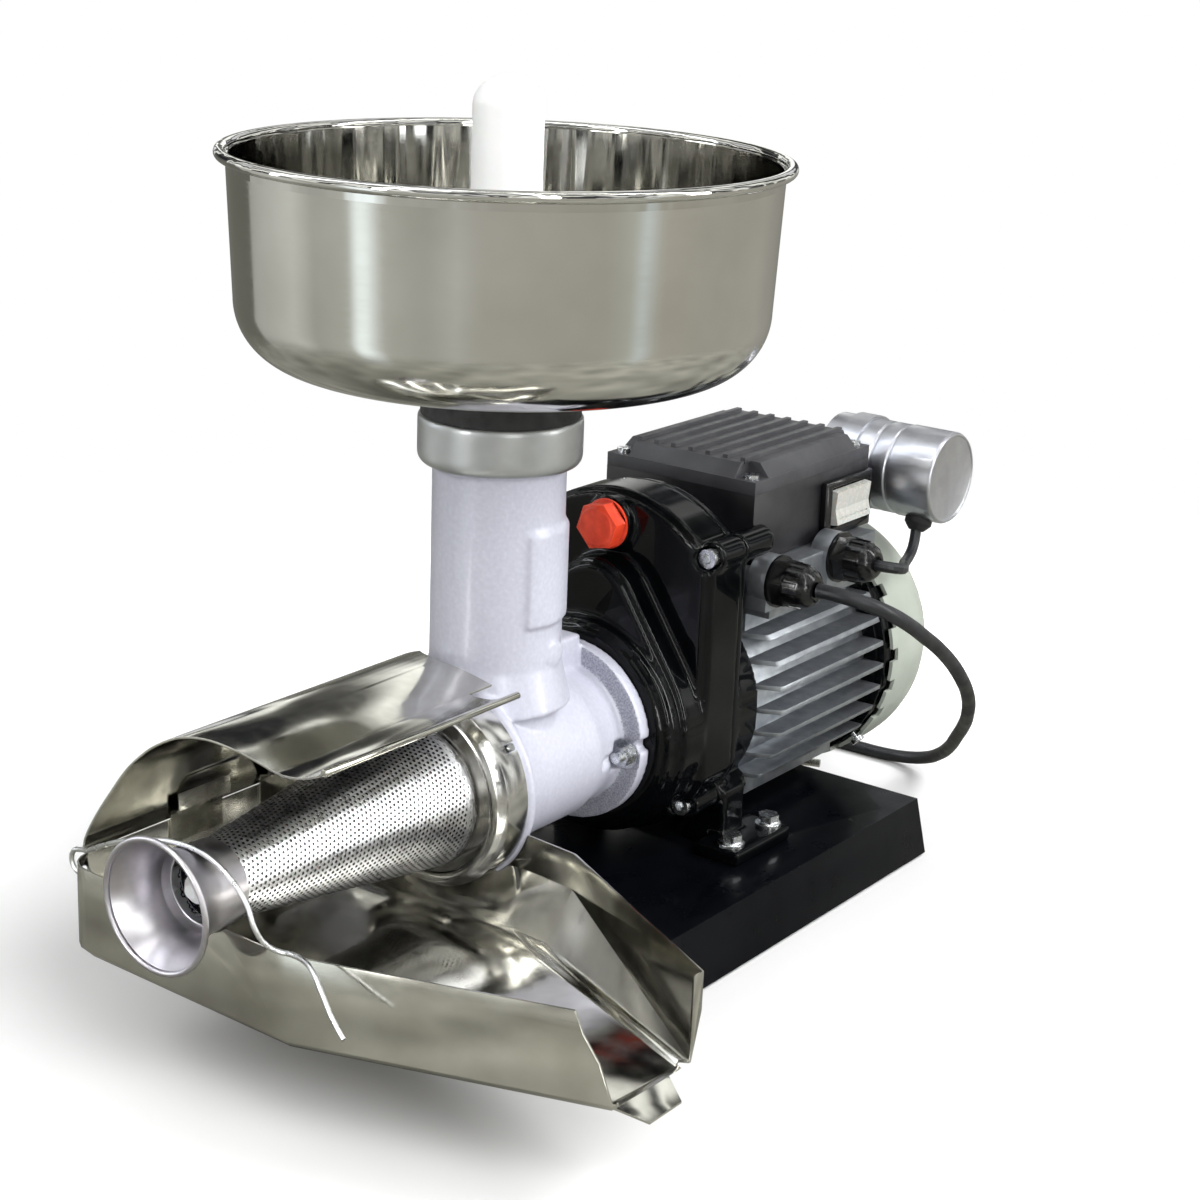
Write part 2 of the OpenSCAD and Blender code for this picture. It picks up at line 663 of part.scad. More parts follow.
module terminal_studs() {
    color([0.8, 0.65, 0.3]) at_frame() for (x = [-24, -10, 4]) for (y = [166, 176])
        translate([x, y, box_z0 + 5]) {
            cylinder(r = 2, h = 14);
            translate([0, 0, 6]) hex_head(7, 3);
        }
}
module switch_frame() {
    color([0.04, 0.04, 0.05]) at_frame() difference() {
        union() {
            block(box_hw, box_hw + 3.6, box_y1 - 49, box_y1 - 0.5, box_z0 + 0.3, box_seam - 5.5);
            block(34, box_hw + eps, box_y1 - 44.8, box_y1 - 4.2, box_z0 + 4.2, box_seam - 8.2);
        }
        block(36, box_hw + 5, box_y1 - 42, box_y1 - 5, box_z0 + 5.5, box_seam - 9.5);
    }
}
module switch_rocker() {
    color([0.9, 0.9, 0.88, 0.9]) at_frame() difference() {
        union() {
            slab_y(box_y1 - 41, box_y1 - 6) polygon([[box_hw - 4, box_z0 + 12], [box_hw + 3, box_z0 + 7],
                [box_hw + 7.2, box_z0 + 7.6], [box_hw + 5.2, 92.6], [box_hw + 6.2, box_seam - 11.4],
                [box_hw + 2, box_seam - 11], [box_hw - 4, box_seam - 16]]);
            rod_y(1.5, box_y1 - 41.7, box_y1 - 5.3, box_hw - 1, 93.5);
        }
        for (z = [box_z0 + 10:3.4:box_seam - 14])
            block(box_hw + 5.9, box_hw + 9, box_y1 - 38, box_y1 - 9, z, z + 1.2);
    }
}

// ---- capacitor
module capacitor_can() {
    r = can_r;
    color([0.75, 0.76, 0.78]) at_frame() translate([0, can_y, can_z]) rotate([0, 90, 0])
        rotate_extrude() polygon([[0, 6], [r - 4, 6], [r, 9], [r, 41], [r - 0.9, 42], [r - 0.9, 43], [r, 44],
            [r, 52.4], [r - 0.7, 53], [r - 0.7, 54], [r + 0.4, 55], [r + 0.4, can_x - 1.6], [r - 0.6, can_x],
            [r - 1.6, can_x], [r - 1.8, can_x - 0.8], [0, can_x - 0.8]]);
}
module capacitor_clamp() {
    color([0.7, 0.71, 0.73]) at_frame() difference() {
        union() {
            rod_x(can_r + 1.6, 20, 32, can_y, can_z);
            block(20, 32, box_y1, can_y, can_z - 18.2, can_z - 14.2);
            block(20, 32, box_y1, box_y1 + 2, can_z - 18.2, can_z - 2.2);
        }
        rod_x(can_r, 19, 33, can_y, can_z);
    }
}
module capacitor_boot() {
    color([0.04, 0.04, 0.04]) at_frame() translate([69, can_y, can_z]) rotate([-22, 0, 0]) difference() {
        translate([0, 0, -can_r - 7]) rotate_extrude()
            polygon([[0, 0], [4.2, 0], [6, 2], [7.6, 4], [7.6, 12], [0, 12]]);
        rod_x(can_r + 0.41, -20, 20);
    }
}
lead_pts = [[69, 289.25, 72.2], [69.4, 288, 68], [70, 285, 62.6], [71.5, 278, 59], [75, 268, 59],
    [81, 256, 61], [88, 243, 64], [94, 231, 67.5], [95, 222, 70], [90, 217.4, 71], [85, 217, 71],
    [80, 217, 71]];
module capacitor_lead() {
    color([0.05, 0.05, 0.06]) at_frame() swept(smooth(lead_pts, 3), lead_d, 10);
}
// cable gland along +X: thread, flat nut, hexagon and fluted dome nut
module gland(y, bore) {
    translate([gland_x, y, gland_z]) rotate([0, 90, 0]) difference() {
        union() {
            translate([0, 0, -6]) cylinder(r = 7, h = 7);
            cylinder(r = 13.8, h = 2);
            translate([0, 0, 1]) rotate(20) hex_head(23, 8);
            translate([0, 0, 8]) rotate_extrude()
                polygon([[0, 0], [11, 0], [11, 9.5], [9.6, 13], [6.8, 15.5], [0, 15.5]]);
            for (a = [15:30:345]) rotate(a) translate([9.5, -0.9, 8.5]) cube([2.4, 1.8, 8.2]);
        }
        translate([0, 0, -7]) cylinder(r = bore, h = 40);
    }
}
module lead_gland() {
    color([0.04, 0.04, 0.05]) at_frame() gland(lead_y, lead_d / 2);
}
module supply_gland() {
    color([0.04, 0.04, 0.05]) at_frame() gland(supply_y, cord_d / 2);
}

// ---- power cord
coil_c = [-76, 322];
coil_r = 44;
cord_floor = floor_z + cord_d / 2;
cord_pts = [[74, 156, 71], [86.5, 156, 71], [98, 156.4, 70.8], [110, 158, 69], [118, 164, 64.5],
    [120.5, 178, 58], [121, 206, 43], [120.5, 236, 25], [118.5, 262, 4.5], [113.5, 285, -16.5],
    [106, 300, -32.5], [96, 316, -45], [84, 333, -61], [71, 354, -77], [58, 372, -91], [48, 385, -100],
    [38, 382, cord_floor + 0.5], [28, 375, cord_floor + 0.1], [12, 373.5, cord_floor], [-9, 378, cord_floor],
    [-30, 379, cord_floor], [-54, 371.4, cord_floor]];
module power_cord() {
    color([0.05, 0.05, 0.06]) at_frame() swept(smooth(cord_pts, 3), cord_d, 10);
}
module cord_coil() {
    h = cord_d;
    corner = 1.2;
    color([0.05, 0.05, 0.06]) at_frame() translate([coil_c[0], coil_c[1], floor_z]) rotate_extrude()
        polygon([[coil_r - h, corner], [coil_r - h + corner, 0], [coil_r + h - corner, 0],
            [coil_r + h, corner], [coil_r + h, 2 * h - corner], [coil_r + h - corner, 2 * h],
            [coil_r - h + corner, 2 * h], [coil_r - h, 2 * h - corner]]);
}
module coil_tie() {
    h = cord_d;
    color([0.9, 0.9, 0.9]) at_frame() translate([coil_c[0] - coil_r, coil_c[1], floor_z]) difference() {
        translate([-h - 1.2, -4, 0]) cube([2 * h + 2.4, 8, 2 * h + 1]);
        translate([-h - 0.25, -5, -1]) cube([2 * h + 0.5, 10, 2 * h + 1.05]);
    }
}
// lies beside the coil, its tail towards the turn that the cord leaves last
module at_plug() {
    at_frame() translate([-11.4, 294.5, floor_z + 17]) rotate([0, 0, 200]) children();
}
module mains_plug() {
    color([0.06, 0.06, 0.07]) at_plug() {
        rod_x(17, -4, 8);
        rod_x(15, 8 - eps, 22);
        translate([22 - eps, 0, 0]) rotate([0, 90, 0]) cylinder(r1 = 12, r2 = 5, h = 14.3);
    }
}
module plug_pins() {
    color([0.75, 0.76, 0.78]) at_plug() for (s = [-1, 1]) rod_x(2.4, -21, -4, s * 9.5, 0);
}

// ---- strainer body
module strainer_body() {
    color([0.78, 0.79, 0.82]) at_frame() difference() {
        union() {
            cylinder(r = chimney_r, h = chimney_collar_z0 + 4);
            // flared foot of the chimney, flat in front behind the tray's collar ring
            intersection() {
                translate([0, 0, 34]) cylinder(r1 = chimney_r + 5.5, r2 = chimney_r, h = 22);
                block(-50, 50, mouth_y + 14, 50, 30, 60);
            }
            translate([0, 0, chimney_collar_z0]) rotate_extrude() polygon(concat([[0, 0], [chimney_r, 0]],
                [for (a = [-90:18:0]) [chimney_collar_r - 5 + 5 * cos(a), 5 + 5 * sin(a)]],
                [[chimney_collar_r, 23.2], [chimney_collar_r - 0.8, 24], [0, 24]]));
            turned_y([[0, mouth_y], [47, mouth_y], [47, mouth_y + 14], [49.8, mouth_y + 15],
                [49.8, mouth_y + 19], [45, mouth_y + 22], [barrel_r + 1, -20], [barrel_r, -10],
                [barrel_r, 36], [barrel_r - 2, 44], [barrel_r - 3.5, 52], [barrel_r - 3.5, flange_y + 1],
                [0, flange_y + 1]]);
            slab_y(flange_y, flange_y + flange_t) circle(r = flange_r);
            // web between chimney and rear flange
            slab_y(20, flange_y + 1) translate([0, 30]) square([14, 46], center = true);
            // blank raised pad on the chimney's right side
            intersection() {
                difference() {
                    translate([0, 0, 78]) cylinder(r = chimney_r + 2, h = 46);
                    translate([0, 0, 70]) cylinder(r = chimney_r - 1, h = 60);
                }
                block(20, 40, -14, 24, 70, 130);
            }
            rod_x(6, 20, chimney_r + 1, 6, 62);
        }
        translate([0, 0, 20]) cylinder(r = chimney_bore, h = 200);
        rod_y(barrel_bore, mouth_y - 1, 46);
        rod_y(40.6, mouth_y - 1, mouth_y + 8);
        rod_y(20, 40, 60);
        rod_y(15, 50, 80);
        translate([0, 0, chimney_top - 10]) cylinder(r = spigot_r + 0.3, h = 20);
        for (a = pin_angles) rotate([0, a, 0]) rod_x(2, 42.5, 60, mouth_y + 9, 0);
        // notch and spot faces for the two flange nuts
        mirror_x() {
            rod_y(8.6, flange_y - 8, flange_y + 1.4, 37.5, -4);
            rod_y(3.3, 40, 80, 37.5, -4);
            block(43.5, 60, 50, 80, -1, 5);
        }
    }
}
module flange_nuts() {
    color([0.75, 0.75, 0.77]) at_frame() mirror_x() translate([37.5, flange_y + 1.4, -4])
        rotate([90, 0, 0]) {
            cylinder(r = 7.6, h = 1.4);
            translate([0, 0, 1.4 - eps]) rotate(8) hex_head(10, 5);
            translate([0, 0, -14]) cylinder(r = 3, h = 23.5);
        }
}
module mouth_pins() {
    color([0.7, 0.71, 0.73]) at_frame() for (a = pin_angles)
        rotate([0, a, 0]) rod_x(2, 42.5, 50.6, mouth_y + 9, 0);
}
module hopper_collar() {
    ri = neck_r + bowl_t;
    color([0.05, 0.05, 0.06]) at_frame() translate([0, 0, chimney_top]) rotate_extrude()
        polygon([[ri, -9.6], [spigot_r, -9.6], [spigot_r, 0], [38, 0], [38.2, 9], [41, 11],
            [41, collar_up - 2.5], [39, collar_up], [ri + 2, collar_up], [ri, collar_up - 1.2]]);
}
module hopper_bowl() {
    c = bowl_corner;
    t = bowl_t;
    cz = bowl_bottom + c;
    co = bowl_low_r - c;
    color([0.8, 0.8, 0.8]) at_frame() {
        rotate_extrude() polygon(concat(
            [[neck_r, bowl_bottom - 24], [neck_r + t, bowl_bottom - 24], [neck_r + t, bowl_bottom - 1.2],
                [neck_r + 2 + t, bowl_bottom]],
            [for (a = [-90:10:0]) [co + c * cos(a), cz + c * sin(a)]],
            [[bowl_r, rim_z - 1], [bowl_r, rim_z + 1], [bowl_r - t, rim_z + 1]],
            [for (a = [0:-10:-90]) [co + (c - t) * cos(a), cz + (c - t) * sin(a)]],
            [[neck_r + 2, bowl_bottom + t], [neck_r, bowl_bottom - 1]]));
        translate([0, 0, rim_z]) rotate_extrude() translate([rim_r, 0]) circle(r = rim_bead);
    }
}
module pusher() {
    z0 = 33.8;
    dome = 14;
    color([0.96, 0.96, 0.95]) at_frame() rotate_extrude() polygon(concat(
        [[0, z0], [pusher_foot_r - 2, z0], [pusher_foot_r, z0 + 2], [pusher_foot_r, z0 + 30],
            [pusher_foot_r - 2, z0 + 33], [pusher_r + 1, z0 + 38], [pusher_r, z0 + 46],
            [pusher_r, pusher_top - dome]],
        [for (i = [1:7]) [pusher_r * cos(i * 12.857), pusher_top - dome + dome * sin(i * 12.857)]],
        [[0, pusher_top], [0, pusher_top - 3], [pusher_r - 3, pusher_top - dome], [pusher_r - 3, z0 + 3],
            [0, z0 + 3]]));
}

// ---- feed screw
function screw_r(y) = y > cone_y1 + 6 ? 33.4 : min(33.4, cone_r1 - flight_in + cone_slope * (cone_y1 - y));
function core_r(y) = 8 + 5 * (y - cone_y2) / (44 - cone_y2);
module flight(y0, y1, n) {
    m = round((y1 - y0) / screw_pitch * n);
    pts = [for (i = [0:m])
        let (y = y0 + (y1 - y0) * i / m, a = 360 * (y - y0) / screw_pitch,
            ro = screw_r(y), ri = core_r(y) - 1.5)
        for (q = [[ri, -2.2], [ro, -1.3], [ro, 1.3], [ri, 2.2]])
        [q[0] * cos(a), y + q[1], q[0] * sin(a)]];
    polyhedron(points = pts, faces = concat([[0, 1, 2, 3]],
        [for (i = [0:m - 1]) for (k = [0:3]) [4 * i + 4 + (k + 1) % 4, 4 * i + (k + 1) % 4, 4 * i + k]],
        [for (i = [0:m - 1]) for (k = [0:3]) [4 * i + 4 + k, 4 * i + 4 + (k + 1) % 4, 4 * i + k]],
        [[4 * m + 3, 4 * m + 2, 4 * m + 1, 4 * m]]));
}
module feed_screw() {
    color([0.93, 0.94, 0.95]) at_frame() difference() {
        union() {
            turned_y([[0, cone_y2 - 11], [3, cone_y2 - 10.4], [6.5, cone_y2 - 7], [8, cone_y2], [13, 44],
                [13, 48], [0, 48]]);
            flight(cone_y2 + 3, 44, 24);
        }
        block(-9, 9, 14, 49, -9, 9);
    }
}
module screw_driver() {
    color([0.7, 0.7, 0.72]) at_frame() difference() {
        block(-9, 9, 14, 50, -9, 9);
        block(-6.5, 6.5, 40, 51, -6.5, 6.5);
    }
}

// ---- filter, outlet and tray set
module filter_cone() {
    color([0.75, 0.75, 0.76]) at_frame() turned_y([[cone_r1, cone_y1], [cone_r1, cone_y1 + 8],
        [cone_r1 - cone_t, cone_y1 + 8], [cone_r1 - cone_t, cone_y1], [cone_r2 - cone_t, cone_y2],
        [cone_r2 - cone_t, cone_y2 - 5], [cone_r2, cone_y2 - 5], [cone_r2, cone_y2]]);
}
module filter_ring() {
    color([0.7, 0.7, 0.72]) at_frame() turned_y([[cone_r1, cone_y1 + 3], [cone_r1 + 1.2, cone_y1 + 3],
        [cone_r1 + 1.2, cone_y1 + 9.5], [40.4, cone_y1 + 9.5], [40.4, mouth_y + 7.6], [34.9, mouth_y + 7.6],
        [34.9, cone_y1 + 8.4], [cone_r1, cone_y1 + 8.4]]);
}
module outlet_cone() {
    y1 = cone_y2 + 6;
    y2 = cone_y2 - 8;
    flare = [for (i = [0:8]) let (s = i / 8)
        [19.6 + (outlet_r - 1.5 - 19.6) * s * s * (1.3 - 0.3 * s), y2 + (outlet_y - y2) * s]];
    ro = outlet_r - 1.4;
    color([0.7, 0.69, 0.67]) at_frame() {
        turned_y(concat([[18.3, y1], [19.3, y1]], [for (p = flare) [p[0] + 0.6, p[1]]],
            [for (i = [8:-1:0]) [flare[i][0] - 0.4, flare[i][1]]],
            [[cone_r2 + 0.01, cone_y2 - 5], [cone_r2 + 0.01, cone_y2],
            [cone_r2 + 0.02 - cone_slope * (y1 - cone_y2), y1]]));
        rotate([-90, 0, 0]) rotate_extrude() translate([ro, outlet_y]) circle(r = 1.4);
    }
}
module tray_collar() {
    r = collar_r;
    color([0.75, 0.75, 0.75]) at_frame() difference() {
        turned_y([[r - 1.4, mouth_y + 13.6], [r, mouth_y + 13.6], [r, mouth_y - 1], [r - 2, mouth_y - 3.4],
            [44.6, collar_front], [42.6, collar_front - 0.8], [41, collar_front + 0.2],
            [40.6, mouth_y - 1.6], [41.6, mouth_y - 1.6], [42.2, collar_front + 1.6],
            [43.6, collar_front + 1.6],
            [45, mouth_y - 1.8], [r - 1.4, mouth_y - 0.3]]);
        for (a = pin_angles) rotate([0, a, 0]) block(44, 52, mouth_y + 6.6, mouth_y + 20, -2.3, 2.3);
        rotate([0, 40, 0]) block(46, 52, mouth_y + 1, mouth_y + 20, -0.7, 0.7);
    }
}
// plan of the tray at one level: o insets all round, b insets the back edge
function tray_plan(o, b) = concat(
    [for (a = [180:22.5:270])
        [tray_left + 15 + (15 - o) * cos(a), tray_front + 19.6 + (15 - o) * sin(a)]],
    [[50 - o * 0.1, tray_front + o], [190.5 - o, -154 + o * 0.7], [192 - o, -96 - o * 0.4 - b * 0.35],
        [78 - o, -34 - o * 0.8 - b], [51, -31 - o - b], [tray_left + o, -31 - o - b]]);
module tray_pan(o, z0) {
    hull() {
        translate([0, 0, z0]) linear_extrude(0.01) polygon(tray_plan(4 + o, 22));
        translate([0, 0, z0 + 4]) linear_extrude(0.01) polygon(tray_plan(o, 18));
        translate([0, 0, -34]) linear_extrude(0.01) polygon(tray_plan(o, 0));
        translate([0, 0, tray_top - 0.01 + o]) linear_extrude(0.01) polygon(tray_plan(o, 0));
    }
}
module drip_tray() {
    t = tray_t;
    color([0.78, 0.78, 0.76]) at_frame() {
        difference() {
            union() {
                tray_pan(0, tray_bottom);
                hull() {
                    block(186, 187, -150, -112, tray_bottom, tray_bottom + t);
                    block(tray_lip - 1, tray_lip, -143, -120, tray_bottom - 5, tray_bottom - 5 + t);
                }
            }
            tray_pan(t, tray_bottom + t);
            // open pouring mouth with a cut-back front corner
            translate([0, 0, tray_bottom + t]) linear_extrude(60)
                polygon([[183, -152], [189, -150], [210, -150], [210, -104], [186, -102.4]]);
            slab_y(-190, -140) polygon([[172, tray_top + 1], [176, -26], [183, -38], [190, tray_bottom + t],
                [205, tray_bottom + t], [205, tray_top + 1]]);
            rod_y(collar_r, -60, -20);
            // clear of the bead round the mouth, and of the cone and outlet in the front wall
            rod_y(50.3, mouth_y + 12, -20);
            rod_y(20.8, tray_front - 1, cone_y2 + 8);
            // hole for the latch clip's loop in the left corner
            rod_x(4.4, tray_left - 3, tray_left + 6, tray_front + 14.6, tray_top - 9.4);
        }
        // stamped bead across the floor
        intersection() {
            translate([60, -50, tray_bottom + t - 3.4]) rotate([0, 90, -17.5]) cylinder(r = 6, h = 122);
            block(0, 183, -110, -40, tray_bottom + t * 0.5, tray_bottom + 8);
            tray_pan(t * 0.5, tray_bottom + t * 0.5);
        }
    }
}
guard_pts = [[-92, -15.4], [-90.6, -8.6], [-86, 0], [-79, 10.5], [-72, 20], [-66, 28], [-60, 35],
    [-53, 41.6], [-46, 47.2], [-38, 52.2], [-30, 56], [-21.5, 58.6], [-12, 60], [-3, 60.2], [8, 59.4],
    [18, 57.8], [26, 56.2], [33, 55.4], [41, 56.2], [49, 58.6], [56, 61.6]];
module splash_guard() {
    color([0.8, 0.8, 0.78]) at_frame() difference() {
        union() {
            slab_y(guard_front, -26) polygon(ribbon(smooth(guard_pts, 2), tray_t));
            rod_y(1.7, guard_front, -54, 56.6, 62.6);
        }
        translate([0, 0, 20]) cylinder(r = 36.5, h = 60);
        translate([-5, -37, 20]) cube([100, 60, 60]);
        translate([28, -54, 20]) cube([60, 60, 60]);
    }
}
hook_pts = [[-78.2, 9.4], [-85, -0.8], [-84.4, -9.4], [-89.6, -10.6], [-90.2, -13], [-90.2, -28]];
module guard_hooks() {
    color([0.82, 0.82, 0.8]) at_frame() for (y = [-130, -70])
        slab_y(y, y + 34) polygon(ribbon(hook_pts, 0.8));
}
clip_pts = [[-85.8, -185, -21.6], [-88, -185, -24.1], [-91.4, -185, -25], [-95.6, -185, -23.3],
    [-97.4, -185, -19], [-95.6, -185, -14.8], [-91.4, -185.4, -13], [-84, -188, -10.6], [-70, -194, -3],
    [-52, -200.6, 6.4], [-36, -205, 13.6], [-21, -207, 18.6], [-8, -207, 21.4], [5, -207, 21.9],
    [16, -207, 19.8], [27, -207, 14], [35.4, -207, 5.6], [40, -207, -4], [42.6, -203.6, -11.4],
    [46, -200.9, -14.3], [54, -199.2, -14.5], [62, -200.4, -14.5], [68, -202.4, -15.6],
    [76, -205, -22.4], [84, -207.6, -30], [92, -209, -37]];
module latch_clip() {
    color([0.85, 0.85, 0.85]) at_frame() translate([0, tray_front + 199.6, 0])
        swept(smooth(clip_pts, 3), wire_d, 8);
}

base_tray();
base_feet();
foot_bolts();
gear_case();
gear_cover();
case_screws();
oil_plug();
shaft_seal();
output_bearings();
output_shaft();
output_gear();
countershaft();
countershaft_pinion();
countershaft_gear();
countershaft_bearings();
motor_pinion();
motor_shaft();
motor_bearings();
rotor_core();
stator_core();
stator_windings();
motor_frame();
end_shield();
cooling_fan();
fan_cover();
fan_cover_screws();
terminal_box();
terminal_lid();
lid_screws();
terminal_block();
terminal_studs();
switch_frame();
switch_rocker();
capacitor_can();
capacitor_clamp();
capacitor_boot();
capacitor_lead();
lead_gland();
supply_gland();
power_cord();
cord_coil();
coil_tie();
mains_plug();
plug_pins();
strainer_body();
flange_nuts();
mouth_pins();
hopper_collar();
hopper_bowl();
pusher();
feed_screw();
screw_driver();
filter_cone();
filter_ring();
outlet_cone();
tray_collar();
drip_tray();
splash_guard();
guard_hooks();
latch_clip();
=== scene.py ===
import json
import math

import bmesh
import bpy
from mathutils import Matrix, Vector

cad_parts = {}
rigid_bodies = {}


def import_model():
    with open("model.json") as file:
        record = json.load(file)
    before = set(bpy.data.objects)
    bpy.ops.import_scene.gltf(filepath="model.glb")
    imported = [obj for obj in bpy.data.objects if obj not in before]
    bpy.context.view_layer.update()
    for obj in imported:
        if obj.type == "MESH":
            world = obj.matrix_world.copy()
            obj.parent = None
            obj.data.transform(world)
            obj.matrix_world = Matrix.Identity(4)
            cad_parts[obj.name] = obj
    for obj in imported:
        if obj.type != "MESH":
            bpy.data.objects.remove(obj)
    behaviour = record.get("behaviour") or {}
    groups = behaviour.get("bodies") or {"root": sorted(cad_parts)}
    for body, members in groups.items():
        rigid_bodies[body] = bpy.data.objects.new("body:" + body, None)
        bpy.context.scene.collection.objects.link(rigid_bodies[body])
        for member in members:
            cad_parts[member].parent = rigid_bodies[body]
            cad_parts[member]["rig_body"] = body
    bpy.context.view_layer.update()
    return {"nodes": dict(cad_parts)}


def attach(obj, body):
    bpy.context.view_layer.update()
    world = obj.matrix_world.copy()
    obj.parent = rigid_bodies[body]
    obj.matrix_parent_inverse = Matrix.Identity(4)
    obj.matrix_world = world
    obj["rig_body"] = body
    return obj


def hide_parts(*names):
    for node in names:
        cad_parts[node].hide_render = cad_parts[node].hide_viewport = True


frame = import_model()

nodes = frame["nodes"]


# ---- Camera.
# Stands where the machine is seen from, in front, to the right and a little above, with a long lens. Its place
# and turn were worked out from edges of the machine whose directions are known.
camera_data = bpy.data.cameras.new("Camera")
camera_data.sensor_width = 36.0
camera_data.lens = 72.23
camera = bpy.data.objects.new("Camera", camera_data)
bpy.context.scene.collection.objects.link(camera)
camera.matrix_world = Matrix(
    (
        (0.8033, -0.2073, 0.5583, 0.65447),
        (0.5944, 0.2209, -0.7732, -0.92041),
        (0.0369, 0.9530, 0.3007, 0.54194),
        (0.0, 0.0, 0.0, 1.0),
    )
)
bpy.context.scene.camera = camera
bpy.context.scene.view_settings.view_transform = "Standard"


# ---- Floor and studio light.
# A wide white floor that keeps the shadow, a pale surround and three large soft lamps, with a room of panels and
# light strips that only polished metal sees.
def add(tree, kind, inputs=(), **settings):
    """One more node in a tree, with its settings and with values or links for its inputs."""
    made = tree.nodes.new(kind)
    for name, value in settings.items():
        setattr(made, name, value)
    for socket, value in dict(inputs).items():
        if isinstance(value, bpy.types.NodeSocket):
            tree.links.new(value, made.inputs[socket])
        else:
            made.inputs[socket].default_value = value
    return made


def srgb(colour):
    """Linear colour of a written hex colour."""
    parts = [int(colour[i : i + 2], 16) / 255 for i in (1, 3, 5)]
    return [p / 12.92 if p <= 0.04045 else ((p + 0.055) / 1.055) ** 2.4 for p in parts] + [1.0]


def mesh_object(name, points, faces, smooth=True):
    """A mesh piece with its corners given in the shared frame, in metres."""
    data = bpy.data.meshes.new(name)
    data.from_pydata([tuple(p) for p in points], [], faces)
    data.validate()
    data.polygons.foreach_set("use_smooth", [smooth] * len(data.polygons))
    made = bpy.data.objects.new(name, data)
    bpy.context.scene.collection.objects.link(made)
    return made


floor_r, floor_y = 1.3, 0.05
circle = [(math.cos(math.tau * k / 96), math.sin(math.tau * k / 96)) for k in range(96)]
floor_rim = [(floor_r * x, floor_r * y + floor_y, 0.0) for x, y in circle]
floor = mesh_object("floor", floor_rim, [list(range(len(floor_rim)))], False)
floor_paper = bpy.data.materials.new("floor_white_paper")
floor_paper.use_nodes = True
tree = floor_paper.node_tree
tree.nodes.clear()
# white to the camera, a quiet grey in what metal mirrors; it keeps the shadow and runs out into the white surround
spot = add(tree, "ShaderNodeTexCoord").outputs["Object"]
centred = add(tree, "ShaderNodeMapping", {"Vector": spot, "Location": (0.0, -floor_y, 0.0)}).outputs["Vector"]
far = add(tree, "ShaderNodeVectorMath", {0: centred}, operation="LENGTH").outputs["Value"]
fade = add(
    tree, "ShaderNodeMapRange", {"Value": far, "From Min": 0.5, "From Max": 1.0}, interpolation_type="SMOOTHSTEP"
).outputs["Result"]
rays = add(tree, "ShaderNodeLightPath")
evened = add(
    tree, "ShaderNodeMapRange", {"Value": far, "From Min": 0.22, "From Max": 0.6, "To Min": 0.78, "To Max": 1.6}
).outputs["Result"]
seen = add(tree, "ShaderNodeBsdfDiffuse", {"Color": evened}).outputs[0]
patches = add(tree, "ShaderNodeTexNoise", {"Vector": spot, "Scale": 7.0, "Detail": 1.0}).outputs["Fac"]
greys = add(
    tree, "ShaderNodeMix", {0: patches, 6: srgb("#474543"), 7: srgb("#c4c4b8")}, data_type="RGBA"
).outputs[2]
mirrored = add(tree, "ShaderNodeBsdfDiffuse", {"Color": greys}).outputs[0]
bounced = add(tree, "ShaderNodeBsdfDiffuse", {"Color": srgb("#dcdcdc")}).outputs[0]
other = add(tree, "ShaderNodeMixShader", {0: rays.outputs["Is Glossy Ray"], 1: bounced, 2: mirrored}).outputs[0]
paper = add(tree, "ShaderNodeMixShader", {0: rays.outputs["Is Camera Ray"], 1: other, 2: seen}).outputs[0]
clear = add(tree, "ShaderNodeBsdfTransparent").outputs[0]
blend = add(tree, "ShaderNodeMixShader", {0: fade, 1: paper, 2: clear}).outputs[0]
add(tree, "ShaderNodeOutputMaterial", {"Surface": blend})
floor.data.materials.append(floor_paper)

world = bpy.data.worlds.new("Studio")
bpy.context.scene.world = world
world.use_nodes = True
tree = world.node_tree
tree.nodes.clear()
world_rays = add(tree, "ShaderNodeLightPath")
direction = add(tree, "ShaderNodeTexCoord").outputs["Generated"]
# what polished metal mirrors: a grey-green room with upright paler panels round it, and above it a dark ceiling
# with bright strips that run up to its middle
round_room = add(tree, "ShaderNodeTexGradient", {"Vector": direction}, gradient_type="RADIAL").outputs["Fac"]


def tones(tree, value, *stops):
    """A colour ramp from stops of (place, hex colour)."""
    ramp = add(tree, "ShaderNodeValToRGB", {"Fac": value})
    while len(ramp.color_ramp.elements) < len(stops):
        ramp.color_ramp.elements.new(0.5)
    for element, (place, colour) in zip(ramp.color_ramp.elements, stops):
        element.position = place
        element.color = srgb(colour)
    return ramp.outputs["Color"]


panels = tones(
    tree, round_room,
    (0.0, "#8e8e8a"), (0.09, "#aaaba6"), (0.12, "#92928d"), (0.17, "#9c9d97"), (0.186, "#dfe7e8"),
    (0.198, "#dfe7e8"), (0.215, "#9b9b95"), (0.27, "#90908a"), (0.3, "#9d9d98"), (0.335, "#92918a"),
    (0.4, "#8f8d86"), (0.47, "#8d8b84"), (0.505, "#96978f"), (0.522, "#abb2b2"), (0.545, "#928f86"),
    (0.62, "#8c8a83"), (0.72, "#8a8881"), (0.85, "#55554f"),
)  # fmt: skip
strips = tones(
    tree, round_room,
    (0.0, "#000000"), (0.066, "#000000"), (0.072, "#a4a8ae"), (0.084, "#a4a8ae"), (0.09, "#000000"),
    (0.208, "#000000"), (0.213, "#ffffff"), (0.224, "#ffffff"), (0.229, "#000000"), (0.394, "#000000"),
    (0.398, "#d8d9d6"), (0.406, "#d8d9d6"), (0.41, "#000000"), (0.567, "#000000"), (0.571, "#e6e7e4"),
    (0.581, "#e6e7e4"), (0.585, "#000000"),
)  # fmt: skip
upright = add(tree, "ShaderNodeMapping", {"Vector": direction, "Scale": (1.0, 1.0, 0.4)}).outputs["Vector"]
